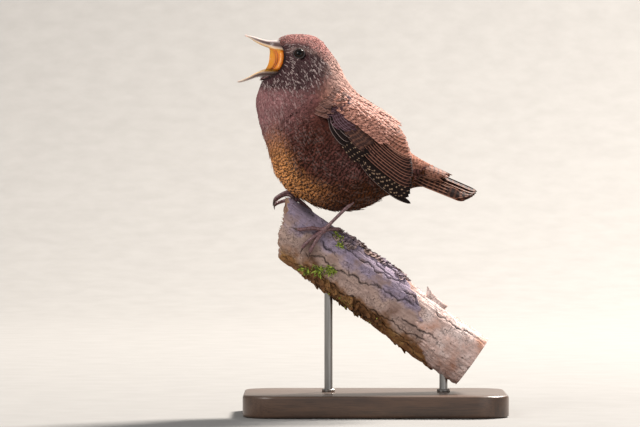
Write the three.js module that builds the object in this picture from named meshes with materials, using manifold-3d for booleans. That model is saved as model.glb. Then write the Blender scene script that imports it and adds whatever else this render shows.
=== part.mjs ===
// A life-size wren in full song, gripping the broken end of a sloping branch on a small display stand.
// Millimetres, +Z up. The origin is the centre of the stand's underside, and the wren faces -X.
// Its left side faces -Y, and every side view below is given as [x, z].
import * as THREE from "three";
import { mergeVertices } from "three/addons/utils/BufferGeometryUtils.js";
import Module from "manifold-3d";

const wasm = await Module();
wasm.setup();

const GAP = 0.3; // between neighbouring pieces
const TOLERANCE = 0.01;
const LEFT = -1;
const RIGHT = 1;
const SIDES = { left: LEFT, right: RIGHT };

// The stand
const BASE_LENGTH = 96;
const BASE_WIDTH = 62;
const BASE_HEIGHT = 8;
const BASE_CORNER = 12;
const BASE_BEVEL = 1;
const ROD_RADIUS = 1.5;
const ROD_SOCKET = 4;
const ROD_X = { front: -17, rear: 25 };

// The branch, a cut length whose upper end is broken
const BRANCH_RADIUS = 10.3;
const BRANCH_LENGTH = 84;
const BRANCH_SLOPE = THREE.MathUtils.degToRad(35.5);
const BRANCH_START = new THREE.Vector3(-32.9, 1, 67.9); // on its middle line, at the broken end
const BREAK_SLANT = 5.6; // how far the break runs back below the middle line, and forward above it
const BRANCH_RINGS = 22;
const BRANCH_SIDES = 28;

// The body, as rungs from the face to the tail. Each rung joins a point of the back's outline to one of the
// belly's. half is the half width there, and skew moves the widest place towards the back.
const BODY_RUNGS = [
  { back: [-41.2, 134.3], belly: [-43.8, 124.1], half: 2.2, skew: 0 },
  { back: [-36.1, 136.2], belly: [-41.2, 122.4], half: 3.7, skew: 0 },
  { back: [-31.8, 138.1], belly: [-42.5, 118.6], half: 5.4, skew: 0.02 },
  { back: [-26.3, 138.7], belly: [-43.5, 114.6], half: 7, skew: 0.06 },
  { back: [-20.8, 137.1], belly: [-43.0, 109.9], half: 8.6, skew: 0.08 },
  { back: [-16.8, 133.0], belly: [-41.8, 104.4], half: 10.4, skew: 0.04 },
  { back: [-13.5, 128.1], belly: [-39.8, 98.9], half: 12.8, skew: 0 },
  { back: [-10.6, 122.5], belly: [-38.1, 93.4], half: 15.5, skew: -0.03 },
  { back: [-6.6, 117.2], belly: [-36.0, 87.6], half: 17.2, skew: -0.05 },
  { back: [-0.7, 113.0], belly: [-31.9, 82.1], half: 17.9, skew: -0.05 },
  { back: [5.1, 108.4], belly: [-24.5, 77.5], half: 17.1, skew: -0.04 },
  { back: [9.5, 103.7], belly: [-15.0, 74.1], half: 14.7, skew: 0 },
  { back: [11.7, 98.9], belly: [-4.7, 75.2], half: 11.3, skew: 0 },
  { back: [13.1, 95.3], belly: [4.7, 79.9], half: 7.8, skew: 0 },
  { back: [16.4, 92.9], belly: [12.0, 81.9], half: 5.4, skew: 0 },
  { back: [19.7, 90.9], belly: [17.9, 83.4], half: 3.6, skew: 0 },
];
const BODY_RINGS = 42;
const BODY_SIDES = 28;

// Where the body is parted, as a line from above the back to below the belly
const HEAD_CUT = { back: [-14.2, 129.4], belly: [-41.4, 119.7] };
const NECK_CUT = { back: [-9.1, 119.6], belly: [-43.3, 109.5] };
const TAIL_CUT = { back: [15, 94.4], belly: [10.2, 81] };

// The face, which ends in a hollow round the open mouth
const MOUTH_CENTRE = new THREE.Vector3(-41, 0, 130.3);
const MOUTH_RADIUS = 7.9;
const MOUTH_TURN = [-1.5, 1.3];
const MOUTH_FREE_EDGE = [5.6, 2.5]; // its distance from the centre, at the bills and half way between them
const MOUTH_WALL = 0.8;
const MOUTH_STEPS = 12;
const EYE_RADIUS = 2.3;
const EYE_STANDS_OUT = 0.85;
const EYE_PLACE = [-27.7, 131.4];
const LID_RADIUS = 0.5;

// The wing's carrier is the body grown outwards, more towards the wing's tip
const WING_CLEARANCE = 0.75;
const WING_GROWTH = { from: 9.5, to: 14, belly: 9, back: 2.2, half: 3.4 };
const WING_CORE = {
  lower: [[-19.5, 111.8], [-17.8, 106.8], [-13.8, 101], [-9.1, 95.6], [-4, 89.8]],
  upper: [[-13.2, 115.8], [-7.4, 113.1], [-1.2, 109.8], [3.8, 106.2], [7.6, 101.6]],
};
const VANE_THICKNESS = 0.5;

// The tail, whose feathers fan out and drop away on both sides like a low roof
const TAIL_ROOT = new THREE.Vector3(12.6, 0, 91.4);
const TAIL_PAIRS = 6;
const TAIL_SLOPE = THREE.MathUtils.degToRad(-22);
const TAIL_LENGTH = 26.4;
const TAIL_SHORTENING = 0.09; // times the square of a feather's place from the middle
const TAIL_COVERTS = [
  { root: [13.6, 93.2], aside: 1.3, slope: -0.42, spread: 0.04, length: 14.5, half: 2, roll: 0.3 },
  { root: [14, 91.2], aside: 3, slope: -0.4, spread: 0.02, length: 11, half: 2, roll: 0.9 },
  { root: [14, 83.6], aside: 1.4, slope: -0.16, spread: 0.02, length: 13, half: 2.1, roll: -0.25 },
];


// Shapes

// A closed body from rings of equal count, each closed by a fan at its own middle.
function loft(rings) {
  const count = rings[0].length;
  const points = rings.flat();
  const triangles = [];
  for (let i = 0; i + 1 < rings.length; i++) {
    for (let j = 0; j < count; j++) {
      const a = i * count + j;
      const b = i * count + ((j + 1) % count);
      triangles.push(a, b, b + count, a, b + count, a + count);
    }
  }
  const middle = (ring) => ring.reduce((sum, p) => sum.add(p), new THREE.Vector3()).divideScalar(count);
  points.push(middle(rings[0]), middle(rings.at(-1)));
  const last = (rings.length - 1) * count;
  for (let j = 0; j < count; j++) {
    const k = (j + 1) % count;
    triangles.push(points.length - 2, k, j);
    triangles.push(points.length - 1, last + j, last + k);
  }
  return solidOf(points, triangles);
}

// A closed plate between two grids of points, split into triangles alike on both faces.
function plate(top, bottom) {
  const rows = top.length;
  const columns = top[0].length;
  const points = [...top.flat(), ...bottom.flat()];
  const under = rows * columns;
  const at = (i, j) => i * columns + j;
  const triangles = [];
  for (let i = 0; i + 1 < rows; i++) {
    for (let j = 0; j + 1 < columns; j++) {
      const [a, b, c, d] = [at(i, j), at(i, j + 1), at(i + 1, j + 1), at(i + 1, j)];
      triangles.push(a, b, c, a, c, d);
      triangles.push(under + a, under + c, under + b, under + a, under + d, under + c);
    }
  }
  const wall = (a, b) => triangles.push(a, under + a, under + b, a, under + b, b);
  for (let i = 0; i + 1 < rows; i++) {
    wall(at(i + 1, 0), at(i, 0));
    wall(at(i, columns - 1), at(i + 1, columns - 1));
  }
  for (let j = 0; j + 1 < columns; j++) {
    wall(at(0, j), at(0, j + 1));
    wall(at(rows - 1, j + 1), at(rows - 1, j));
  }
  return solidOf(points, triangles);
}

function solidOf(points, triangles) {
  const geometry = new THREE.BufferGeometry().setFromPoints(points).setIndex(triangles);
  const made = joined(geometry);
  if (made.volume() > 0) return made;
  const turned = [];
  for (let i = 0; i < triangles.length; i += 3) {
    turned.push(triangles[i], triangles[i + 2], triangles[i + 1]);
  }
  return joined(new THREE.BufferGeometry().setFromPoints(points).setIndex(turned));
}

// A solid from a three.js geometry, with its shared vertices merged.
function joined(geometry) {
  geometry.deleteAttribute("normal");
  geometry.deleteAttribute("uv");
  const merged = mergeVertices(geometry, 1e-4);
  return new wasm.Manifold(new wasm.Mesh({
    numProp: 3,
    vertProperties: merged.attributes.position.array,
    triVerts: new Uint32Array(merged.index.array),
  }));
}

const union = (solids) => solids.reduce((sum, solid) => sum.add(solid));

// The largest closed surface of a solid, with edges shorter than the tolerance merged.
function largest(solid) {
  const pieces = solid.simplify(TOLERANCE).decompose();
  return pieces.reduce((best, piece) => (piece.volume() > best.volume() ? piece : best));
}

// A round tube along points, with a radius at each.
function tube(points, radii, sides = 8) {
  const curve = new THREE.CatmullRomCurve3(points);
  const frames = curve.computeFrenetFrames(points.length - 1, false);
  const rings = points.map((point, i) => {
    const ring = [];
    for (let k = 0; k < sides; k++) {
      const angle = (2 * Math.PI * k) / sides;
      ring.push(point.clone()
        .addScaledVector(frames.normals[i], radii[i] * Math.cos(angle))
        .addScaledVector(frames.binormals[i], radii[i] * Math.sin(angle)));
    }
    return ring;
  });
  return loft(rings);
}

function ball(centre, radius, segments = 14) {
  const geometry = new THREE.SphereGeometry(radius, segments, segments / 2);
  return joined(geometry.translate(centre.x, centre.y, centre.z));
}

// The same small unevenness each time, from -1 to 1.
const uneven = (seed) => 2 * THREE.MathUtils.seededRandom(seed) - 1;
const mix = THREE.MathUtils.lerp;
const smooth = THREE.MathUtils.smoothstep;
const point2 = ([x, z]) => new THREE.Vector2(x, z);

// A smooth value through a list, at place t counted in steps of the list.
function through(values, t) {
  const i = Math.min(Math.floor(t), values.length - 2);
  const f = t - i;
  const at = (k) => values[THREE.MathUtils.clamp(k, 0, values.length - 1)];
  const [a, b, c, d] = [at(i - 1), at(i), at(i + 1), at(i + 2)];
  return b + 0.5 * f * (c - a + f * (2 * a - 5 * b + 4 * c - d + f * (3 * (b - c) + d - a)));
}

const RUNG_COLUMNS = {
  backX: BODY_RUNGS.map((rung) => rung.back[0]),
  backZ: BODY_RUNGS.map((rung) => rung.back[1]),
  bellyX: BODY_RUNGS.map((rung) => rung.belly[0]),
  bellyZ: BODY_RUNGS.map((rung) => rung.belly[1]),
  half: BODY_RUNGS.map((rung) => rung.half),
  skew: BODY_RUNGS.map((rung) => rung.skew),
};
const LAST_RUNG = BODY_RUNGS.length - 1;

// The body's rung at place t, grown outwards at the back, at the belly and in half width.
function rungAt(t, grow = { back: 0, belly: 0, half: 0 }) {
  const back = new THREE.Vector2(through(RUNG_COLUMNS.backX, t), through(RUNG_COLUMNS.backZ, t));
  const belly = new THREE.Vector2(through(RUNG_COLUMNS.bellyX, t), through(RUNG_COLUMNS.bellyZ, t));
  const up = back.clone().sub(belly).normalize();
  back.addScaledVector(up, grow.back);
  belly.addScaledVector(up, -grow.belly);
  return {
    middle: back.clone().add(belly).divideScalar(2),
    reach: back.clone().sub(belly).divideScalar(2),
    half: through(RUNG_COLUMNS.half, t) + grow.half,
    skew: through(RUNG_COLUMNS.skew, t),
  };
}

// The body's surface, grown by a clearance. angle is 0 along the back and half a turn along the belly.
function bodySolid(clearance = 0) {
  const rings = [];
  const grow = { back: clearance, belly: clearance, half: clearance };
  for (let i = 0; i <= BODY_RINGS; i++) {
    const rung = rungAt((LAST_RUNG * i) / BODY_RINGS, grow);
    const ring = [];
    for (let j = 0; j < BODY_SIDES; j++) {
      const angle = (2 * Math.PI * j) / BODY_SIDES;
      const u = Math.cos(angle);
      ring.push(new THREE.Vector3(
        rung.middle.x + rung.reach.x * u,
        -rung.half * Math.sin(angle) * (1 + rung.skew * u),
        rung.middle.y + rung.reach.y * u,
      ));
    }
    rings.push(ring);
  }
  return loft(rings);
}

// Half the width of the body, or of its grown copy, at a place in the side view. 0 is outside its outline.
function halfWidthAt(x, z, growthAt = () => undefined) {
  const here = new THREE.Vector2(x, z);
  const side = (t) => {
    const rung = rungAt(t, growthAt(t));
    return rung.reach.cross(here.clone().sub(rung.middle));
  };
  let low = 1;
  let high = LAST_RUNG;
  const sign = Math.sign(side(low));
  for (let i = 0; i < 30; i++) {
    const t = (low + high) / 2;
    if (Math.sign(side(t)) === sign) low = t;
    else high = t;
  }
  const rung = rungAt(low, growthAt(low));
  const u = here.sub(rung.middle).dot(rung.reach) / rung.reach.lengthSq();
  return Math.abs(u) < 1 ? rung.half * Math.sqrt(1 - u * u) * (1 + rung.skew * u) : 0;
}

// Half of space beyond a parting line, on its rear side, moved back by a distance.
function behind(solid, cut, offset) {
  const [back, belly] = [point2(cut.back), point2(cut.belly)];
  const along = back.clone().sub(belly).normalize();
  const normal = [along.y, 0, -along.x];
  return { normal, distance: normal[0] * back.x + normal[2] * back.y + offset, solid };
}

const rearOf = (solid, cut) => {
  const plane = behind(solid, cut, GAP / 2);
  return solid.trimByPlane(plane.normal, plane.distance);
};

const frontOf = (solid, cut) => {
  const plane = behind(solid, cut, -GAP / 2);
  return solid.trimByPlane(plane.normal.map((n) => -n), -plane.distance);
};

// The branch

// A point of the branch's bark, or lift above it. along is counted down the branch from its broken end, and
// angle turns from its top towards the camera's side, -Y.
function branchPoint(along, angle, lift = 0) {
  const ridges = 0.025 * Math.sin(2 * angle + 0.8) + 0.018 * Math.sin(5 * angle + 0.07 * along)
    + 0.02 * Math.sin(0.16 * along + angle);
  const bump = (place, turn, length, width, height) => height
    * Math.exp(-(((along - place) / length) ** 2) - ((angleBetween(angle, turn) / width) ** 2));
  const bumps = bump(24, 0.1, 5, 0.5, 1.1) + bump(39, 0, 7, 0.45, 0.9) + bump(74, 1.2, 6, 0.7, 1.2);
  const radius = BRANCH_RADIUS * (1 + ridges) + bumps + lift;
  const across = radius * Math.cos(angle);
  return new THREE.Vector3(
    BRANCH_START.x + along * Math.cos(BRANCH_SLOPE) + across * Math.sin(BRANCH_SLOPE),
    BRANCH_START.y - radius * Math.sin(angle),
    BRANCH_START.z - along * Math.sin(BRANCH_SLOPE) + across * Math.cos(BRANCH_SLOPE),
  );
}

function angleBetween(a, b) {
  return Math.atan2(Math.sin(a - b), Math.cos(a - b));
}

function makeBranch(rods) {
  const rings = [];
  for (let i = 0; i <= BRANCH_RINGS; i++) {
    const ring = [];
    for (let j = 0; j < BRANCH_SIDES; j++) {
      const angle = (2 * Math.PI * j) / BRANCH_SIDES;
      const start = -BREAK_SLANT * Math.cos(angle) + 0.5 * Math.sin(3 * angle);
      ring.push(branchPoint(mix(start, BRANCH_LENGTH, i / BRANCH_RINGS), angle));
    }
    rings.push(ring);
  }
  const snagFoot = branchPoint(64, 0.15, -2);
  const snag = tube(
    [snagFoot, snagFoot.clone().add(new THREE.Vector3(-3, -0.5, 4)), snagFoot.clone().add(new THREE.Vector3(-5, -0.8, 8.6))],
    [2.6, 1.7, 0.35],
    6,
  );
  return largest(union([loft(rings), snag]).subtract(union(rods)));
}

// The stand

// A vertical rod between two heights.
function rod(x, bottom, top, radius) {
  const geometry = new THREE.CylinderGeometry(radius, radius, top - bottom, 24);
  return joined(geometry.rotateX(Math.PI / 2).translate(x, BRANCH_START.y, (bottom + top) / 2));
}

function rodHeights(x) {
  const along = (x - BRANCH_START.x) / Math.cos(BRANCH_SLOPE);
  const middle = BRANCH_START.z - along * Math.sin(BRANCH_SLOPE);
  return [BASE_HEIGHT - ROD_SOCKET, middle - BRANCH_RADIUS / Math.cos(BRANCH_SLOPE) + ROD_SOCKET];
}

function makeBase(rods) {
  const [length, width] = [BASE_LENGTH / 2 - BASE_BEVEL, BASE_WIDTH / 2 - BASE_BEVEL];
  const shape = new THREE.Shape();
  shape.moveTo(-length + BASE_CORNER, -width);
  shape.absarc(length - BASE_CORNER, -width + BASE_CORNER, BASE_CORNER, -Math.PI / 2, 0);
  shape.absarc(length - BASE_CORNER, width - BASE_CORNER, BASE_CORNER, 0, Math.PI / 2);
  shape.absarc(-length + BASE_CORNER, width - BASE_CORNER, BASE_CORNER, Math.PI / 2, Math.PI);
  shape.absarc(-length + BASE_CORNER, -width + BASE_CORNER, BASE_CORNER, Math.PI, 1.5 * Math.PI);
  const geometry = new THREE.ExtrudeGeometry(shape, {
    depth: BASE_HEIGHT - 2 * BASE_BEVEL,
    bevelThickness: BASE_BEVEL,
    bevelSize: BASE_BEVEL,
    bevelSegments: 1,
    curveSegments: 4,
  });
  return joined(geometry.translate(0, 0, BASE_BEVEL)).subtract(union(rods));
}

// The head

// The outward direction of the body's side at a place in the side view.
function sideNormal(x, z, side, widthAt = halfWidthAt) {
  const step = 0.2;
  const slopeX = (widthAt(x + step, z) - widthAt(x - step, z)) / (2 * step);
  const slopeZ = (widthAt(x, z + step) - widthAt(x, z - step)) / (2 * step);
  return new THREE.Vector3(-slopeX, side, -slopeZ).normalize();
}

function eyeCentre(side) {
  const [x, z] = EYE_PLACE;
  const normal = sideNormal(x, z, side);
  const surface = new THREE.Vector3(x, side * halfWidthAt(x, z), z);
  return { centre: surface.addScaledVector(normal, EYE_STANDS_OUT - EYE_RADIUS), normal };
}

// The rim of the eyelids, a ring round the eye where it leaves the head.
function lids(side) {
  const { centre, normal } = eyeCentre(side);
  const depth = EYE_RADIUS - EYE_STANDS_OUT;
  const ringRadius = Math.sqrt(EYE_RADIUS ** 2 - depth ** 2) + 0.45;
  const geometry = new THREE.TorusGeometry(ringRadius, LID_RADIUS, 6, 18);
  geometry.applyQuaternion(new THREE.Quaternion().setFromUnitVectors(new THREE.Vector3(0, 0, 1), normal));
  const at = centre.clone().addScaledVector(normal, depth + 0.1);
  return joined(geometry.translate(at.x, at.y, at.z));
}

// A round bar along Y through the mouth's centre, which the face is hollowed by.
function mouthBar(radius) {
  const geometry = new THREE.CylinderGeometry(radius, radius, 40, 40);
  return joined(geometry.translate(MOUTH_CENTRE.x, MOUTH_CENTRE.y, MOUTH_CENTRE.z));
}

function makeHead(body) {
  const rings = [LEFT, RIGHT].map(lids);
  const sockets = [LEFT, RIGHT].map((side) => ball(eyeCentre(side).centre, EYE_RADIUS + GAP));
  const whole = union([frontOf(body, HEAD_CUT).subtract(mouthBar(MOUTH_RADIUS)), ...rings]);
  return largest(whole.subtract(union(sockets)));
}

// What a bill or the mouth's lining may not enter: the head behind its hollow face, with a gap.
function behindFace() {
  const block = new THREE.BoxGeometry(30, 30, 30).translate(MOUTH_CENTRE.x + 15, 0, MOUTH_CENTRE.z);
  return joined(block).subtract(mouthBar(MOUTH_RADIUS - GAP));
}

// Half a bill from stations, each [x, z of the ridge, z of the edge, half width], grown by a clearance. The
// edge is the side that bites, and flatness is how far the half bulges beyond it.
function billHalf(stations, flatness, clearance = 0) {
  return loft(stations.map(([x, ridge, edge, half]) => {
    const ring = [];
    for (let k = 0; k < BILL_SIDES; k++) {
      const angle = (2 * Math.PI * k) / BILL_SIDES;
      const u = Math.cos(angle);
      const height = (ridge - edge) * u * (u > 0 ? 1 : flatness) + Math.sign(ridge - edge) * clearance * u;
      ring.push(new THREE.Vector3(x, (half + clearance) * Math.sin(angle), edge + height));
    }
    return ring;
  }));
}

const BILL_SIDES = 14;
const UPPER_FLATNESS = 0.3;
const LOWER_FLATNESS = 0.25;
const UPPER_BILL = [
  [-33, 136.2, 132.6, 3.1],
  [-36.3, 136.5, 133.2, 2.9],
  [-38.6, 136.4, 134.1, 2.3],
  [-41, 136.8, 134.9, 1.75],
  [-43.4, 137.5, 136.0, 1.2],
  [-45.8, 138.1, 137.4, 0.7],
  [-47.6, 138.4, 138.1, 0.28],
];
const LOWER_BILL = [
  [-34, 122.4, 124.8, 3],
  [-37, 122.6, 125.2, 2.8],
  [-40.2, 123, 125.2, 2.3],
  [-43, 122.9, 124.4, 1.7],
  [-46, 121.9, 122.9, 1.05],
  [-48.6, 121.1, 121.8, 0.6],
  [-50.2, 121, 121.4, 0.26],
];

function makeUpperBill() {
  const nostrils = [LEFT, RIGHT].map((side) => {
    const geometry = new THREE.SphereGeometry(1, 10, 6).scale(0.75, 0.4, 0.28);
    return joined(geometry.rotateY(0.3).translate(-38.4, side * 1.95, 135.2));
  });
  return largest(billHalf(UPPER_BILL, UPPER_FLATNESS).subtract(union([behindFace(), ...nostrils])));
}

function makeLowerBill() {
  return largest(billHalf(LOWER_BILL, LOWER_FLATNESS).subtract(behindFace()));
}

// The stretched corners of the mouth and its lining, a bowl that lies against the hollow face and is open
// towards the bill's tip. angle turns about the mouth's centre, from the lower bill to the upper one.
function makeMouth() {
  const at = (angle, radius, y) => new THREE.Vector3(
    MOUTH_CENTRE.x + radius * Math.cos(angle), y, MOUTH_CENTRE.z + radius * Math.sin(angle),
  );
  const face = MOUTH_RADIUS - GAP;
  const wall = (inset) => {
    const grid = [];
    for (let i = 0; i <= MOUTH_STEPS; i++) {
      const f = i / MOUTH_STEPS;
      const angle = mix(...MOUTH_TURN, f);
      const free = mix(MOUTH_FREE_EDGE[0], MOUTH_FREE_EDGE[1], Math.sin(Math.PI * f) ** 0.7);
      const rim = at(angle, face, 0);
      const half = Math.max(halfWidthAt(rim.x, rim.z) - 0.25, 1.6) - inset;
      const back = face - inset;
      grid.push([
        at(angle, free, -half * 0.82), at(angle, mix(free, back, 0.55), -half * 0.93), at(angle, back, -half),
        at(angle, back, -half / 3), at(angle, back, half / 3),
        at(angle, back, half), at(angle, mix(free, back, 0.55), half * 0.93), at(angle, free, half * 0.82),
      ]);
    }
    return grid;
  };
  const bills = union([
    billHalf(UPPER_BILL, UPPER_FLATNESS, GAP), billHalf(LOWER_BILL, LOWER_FLATNESS, GAP),
  ]);
  return largest(plate(wall(0), wall(MOUTH_WALL)).subtract(union([behindFace(), bills])));
}

function makeTongue() {
  const stations = [[-35.2, 125.9], [-37.5, 126.5], [-40, 126.4], [-42.4, 125.7], [-44, 125.2]];
  const halves = [1.1, 1.15, 0.95, 0.6, 0.2];
  const grid = (lift) => stations.map(([x, z], i) => [-1, 0, 1].map(
    (c) => new THREE.Vector3(x, c * halves[i], z + lift + 0.12 * Math.abs(c)),
  ));
  return largest(plate(grid(0.55), grid(0)).intersect(mouthBar(MOUTH_RADIUS - MOUTH_WALL - 2 * GAP)));
}

// The wings

function wingGrowth(t) {
  const far = smooth(t, WING_GROWTH.from, WING_GROWTH.to);
  return {
    back: WING_CLEARANCE + far * WING_GROWTH.back,
    belly: WING_CLEARANCE + far * WING_GROWTH.belly,
    half: WING_CLEARANCE + far * WING_GROWTH.half,
  };
}

const wingWidthAt = (x, z) => halfWidthAt(x, z, wingGrowth);

// A point lifted off the wing's carrier, at a place in the side view.
function wingPoint(x, z, side, lift) {
  const normal = sideNormal(x, z, side, wingWidthAt);
  return new THREE.Vector3(x, side * wingWidthAt(x, z), z).addScaledVector(normal, lift);
}

const VANE_STEPS = [0, 0.42, 0.82, 1];
const VANE_HALVES = [0.6, 1, 0.86, 0.32];

// A feather laid on the wing's carrier from a root to a tip. Its lower edge lies over the next feather's.
function wingVane(root, tip, half, lifts, bow, tilt, side) {
  const along = tip.clone().sub(root);
  const down = new THREE.Vector2(along.y, -along.x).normalize();
  if (down.y > 0) down.negate();
  const grid = (above) => VANE_STEPS.map((s, i) => {
    const spine = root.clone().addScaledVector(along, s).addScaledVector(down, bow * 4 * s * (1 - s));
    const normal = sideNormal(spine.x, spine.y, side, wingWidthAt);
    const tangent = new THREE.Vector3(along.x, 0, along.y).normalize();
    const across = new THREE.Vector3().crossVectors(normal, tangent).normalize();
    if (across.z > 0) across.negate();
    return [-1, 1].map((c) => {
      const shift = across.clone().multiplyScalar(c * half * VANE_HALVES[i]);
      const lift = mix(lifts[0], lifts[1], s) + c * tilt + above;
      return wingPoint(spine.x + shift.x, spine.y + shift.z, side, lift);
    });
  });
  return plate(grid(VANE_THICKNESS), grid(0));
}

function bezier(points, f) {
  if (points.length === 2) return point2(points[0]).lerp(point2(points[1]), f);
  return new THREE.QuadraticBezierCurve(...points.map(point2)).getPoint(f);
}

// Tiers of wing feathers, from the lowest lying to the uppermost. roots and tips run from the first feather
// to the last, and half is the half width of the first and the last.
const WING_TIERS = {
  primaries: {
    count: 7, roots: [[-8.5, 98.5], [-6.5, 94]], tips: [[3.2, 83.6], [14, 74.6], [12.6, 84.5]],
    half: [1.6, 2.1], lifts: [0.3, 0.5], bow: 0.9, tilt: 0.22,
  },
  secondaries: {
    count: 5, roots: [[-8, 101], [-2, 106.5]], tips: [[12.4, 84.6], [13.6, 88.5], [12.4, 92.6]],
    half: [2.2, 2.5], lifts: [0.75, 0.8], bow: 0.7, tilt: 0.24,
  },
  tertials: {
    count: 3, roots: [[-3.5, 107.5], [-0.5, 110]], tips: [[12, 94.6], [10.3, 98.8]],
    half: [2.6, 2.5], lifts: [1.1, 1.1], bow: 0.5, tilt: 0.25,
  },
  primaryCoverts: {
    count: 3, roots: [[-13.5, 102], [-11.5, 104]], tips: [[-5.4, 91.6], [-2.6, 94.6]],
    half: [1.5, 1.7], lifts: [1.1, 1], bow: 0.5, tilt: 0.2,
  },
  alula: {
    count: 2, roots: [[-17, 107], [-15.8, 108.3]], tips: [[-10.9, 98], [-8.6, 99.8]],
    half: [1.2, 1.4], lifts: [1.5, 1.45], bow: 0.7, tilt: 0.2,
  },
  greaterCoverts: {
    count: 6, roots: [[-12.5, 105], [-3.5, 112]], tips: [[-4.6, 96], [5.8, 104.2]],
    half: [1.7, 1.9], lifts: [1.5, 1.35], bow: 0.4, tilt: 0.22,
  },
  medianCoverts: {
    count: 5, roots: [[-16, 109], [-8, 113.6]], tips: [[-10.6, 103], [-1.6, 108.9]],
    half: [1.7, 1.9], lifts: [1.9, 1.8], bow: 0.3, tilt: 0.2,
  },
};

function makeWing(side) {
  const rows = WING_CORE.lower.length;
  const columns = 5;
  const core = (above) => WING_CORE.lower.map((lower, i) => {
    const upper = WING_CORE.upper[i];
    return Array.from({ length: columns }, (_, j) => {
      const f = j / (columns - 1);
      const fullness = Math.sin(Math.PI * mix(0.12, 0.88, f)) * mix(1, 0.55, i / (rows - 1));
      return wingPoint(mix(lower[0], upper[0], f), mix(lower[1], upper[1], f), side, above * fullness * 2);
    });
  });
  const vanes = Object.values(WING_TIERS).flatMap((tier) => {
    return Array.from({ length: tier.count }, (_, i) => {
      const f = i / (tier.count - 1);
      const tip = bezier(tier.tips, f);
      tip.addScaledVector(tip.clone().sub(bezier(tier.roots, f)).normalize(), 0.3 * uneven(17 * i + tier.count));
      const half = mix(...tier.half, f) * (1 + 0.04 * uneven(31 * i + tier.count));
      return wingVane(bezier(tier.roots, f), tip, half, tier.lifts, tier.bow, tier.tilt, side);
    });
  });
  return largest(union([plate(core(1), core(0)), ...vanes]));
}

// The tail

// A feather from a root along a direction, its faces turned by roll about its own length.
function freeVane(root, direction, length, half, roll, droop) {
  const level = new THREE.Vector3(0, 1, 0);
  const across = level.addScaledVector(direction, -level.dot(direction)).normalize()
    .applyAxisAngle(direction, roll);
  const normal = new THREE.Vector3().crossVectors(direction, across).normalize();
  if (normal.z < 0) normal.negate();
  const grid = (above) => VANE_STEPS.map((s, i) => [-1, 1].map((c) => root.clone()
    .addScaledVector(direction, length * s)
    .addScaledVector(across, c * half * VANE_HALVES[i])
    .addScaledVector(normal, above - droop * s * s)));
  return plate(grid(VANE_THICKNESS), grid(0));
}

function makeTail(rear, torsoClear) {
  const vanes = [];
  for (const side of [LEFT, RIGHT]) {
    for (let i = 0; i < TAIL_PAIRS; i++) {
      const fan = side * THREE.MathUtils.degToRad(1.5 + 2.3 * i);
      const slope = TAIL_SLOPE + THREE.MathUtils.degToRad(0.3 * i);
      const direction = new THREE.Vector3(Math.cos(slope) * Math.cos(fan), Math.sin(fan), Math.sin(slope)).normalize();
      const root = TAIL_ROOT.clone().add(new THREE.Vector3(-0.2 * i, side * (1 + 0.35 * i), -0.85 * i));
      const roll = -side * THREE.MathUtils.degToRad(14 + 8 * i);
      vanes.push(freeVane(root, direction, TAIL_LENGTH - TAIL_SHORTENING * i * i + 0.3 * side, 2.5, roll, 0.5));
    }
    for (const covert of TAIL_COVERTS) {
      const slope = covert.slope;
      const direction = new THREE.Vector3(Math.cos(slope), covert.spread * side, Math.sin(slope)).normalize();
      const root = new THREE.Vector3(covert.root[0], side * covert.aside, covert.root[1]);
      vanes.push(freeVane(root, direction, covert.length, covert.half, -side * covert.roll, 0));
    }
  }
  return largest(union([rear, ...vanes]).subtract(torsoClear));
}

// The legs

// Each toe is a path round the branch from the foot's hub to its claw's tip. A point is [along, angle, lift],
// and a lift below 0 is sunk past the broken end's edge, where the toe curls over.
const FEET = {
  left: {
    hub: [11.9, 0.87, 0],
    ankle: new THREE.Vector3(-6.6, -7.5, 79.2),
    toes: [
      [[8.2, 1.05, 0], [4.6, 1.33, 0], [1.8, 1.42, 0]],
      [[10.2, 1.3, 0], [9.3, 1.68, 0], [10, 2, 0]],
      [[11.9, 1.3, 0], [12.3, 1.66, 0], [13.4, 1.98, 0]],
      [[14, 0.62, 0], [16.2, 0.36, 0], [18, 0.12, 0]],
    ],
  },
  right: {
    hub: [-2.6, -0.25, 0],
    ankle: new THREE.Vector3(-18, 6, 91),
    toes: [
      [[-6.6, -0.02, -0.1], [-9, 0, -4.4], [-8.3, 0, -7]],
      [[-6.6, -0.42, -0.1], [-8.7, -0.46, -4], [-7.8, -0.46, -6.4]],
      [[-5.6, -0.76, 0], [-7.9, -0.95, -2.8], [-7, -1, -5]],
      [[0.6, -0.3, 0], [3.6, -0.36, 0], [5.8, -0.4, 0]],
    ],
  },
};
const TOE_RADIUS = 0.8;
const TOE_END_RADIUS = 0.62;
const TARSUS_RADIUS = 0.72;
const HUB_RADIUS = 1.25;
const TOE_CLEARANCE = 0.55; // above the smooth bark, so that bumps stay clear

// A point of a toe's middle line, where its flesh has a radius.
const toePoint = ([along, angle, lift], radius) => branchPoint(along, angle, radius + TOE_CLEARANCE + lift);

// The hub with its toes and claws, grown by a clearance.
function toesOf(foot, clearance = 0) {
  const hub = toePoint(foot.hub, TOE_RADIUS + 0.15);
  const pieces = [ball(hub, HUB_RADIUS + clearance, 10)];
  for (const [middle, end, claw] of foot.toes) {
    const points = [hub, toePoint(middle, TOE_RADIUS), toePoint(end, TOE_END_RADIUS), toePoint(claw, 0.3)];
    const curve = new THREE.CatmullRomCurve3(points);
    const path = curve.getPoints(9);
    const fleshEnd = 6.5;
    const radiusAt = (k) => (k < fleshEnd
      ? mix(TOE_RADIUS, TOE_END_RADIUS, k / fleshEnd) + 0.09 * (k % 2)
      : mix(0.55, 0.12, (k - fleshEnd) / (9 - fleshEnd)));
    pieces.push(tube(path, path.map((_, k) => radiusAt(k) + clearance), 7));
  }
  return union(pieces);
}

function makeFoot(foot, branch, bodyClear) {
  return largest(toesOf(foot).subtract(branch).subtract(bodyClear));
}

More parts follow.
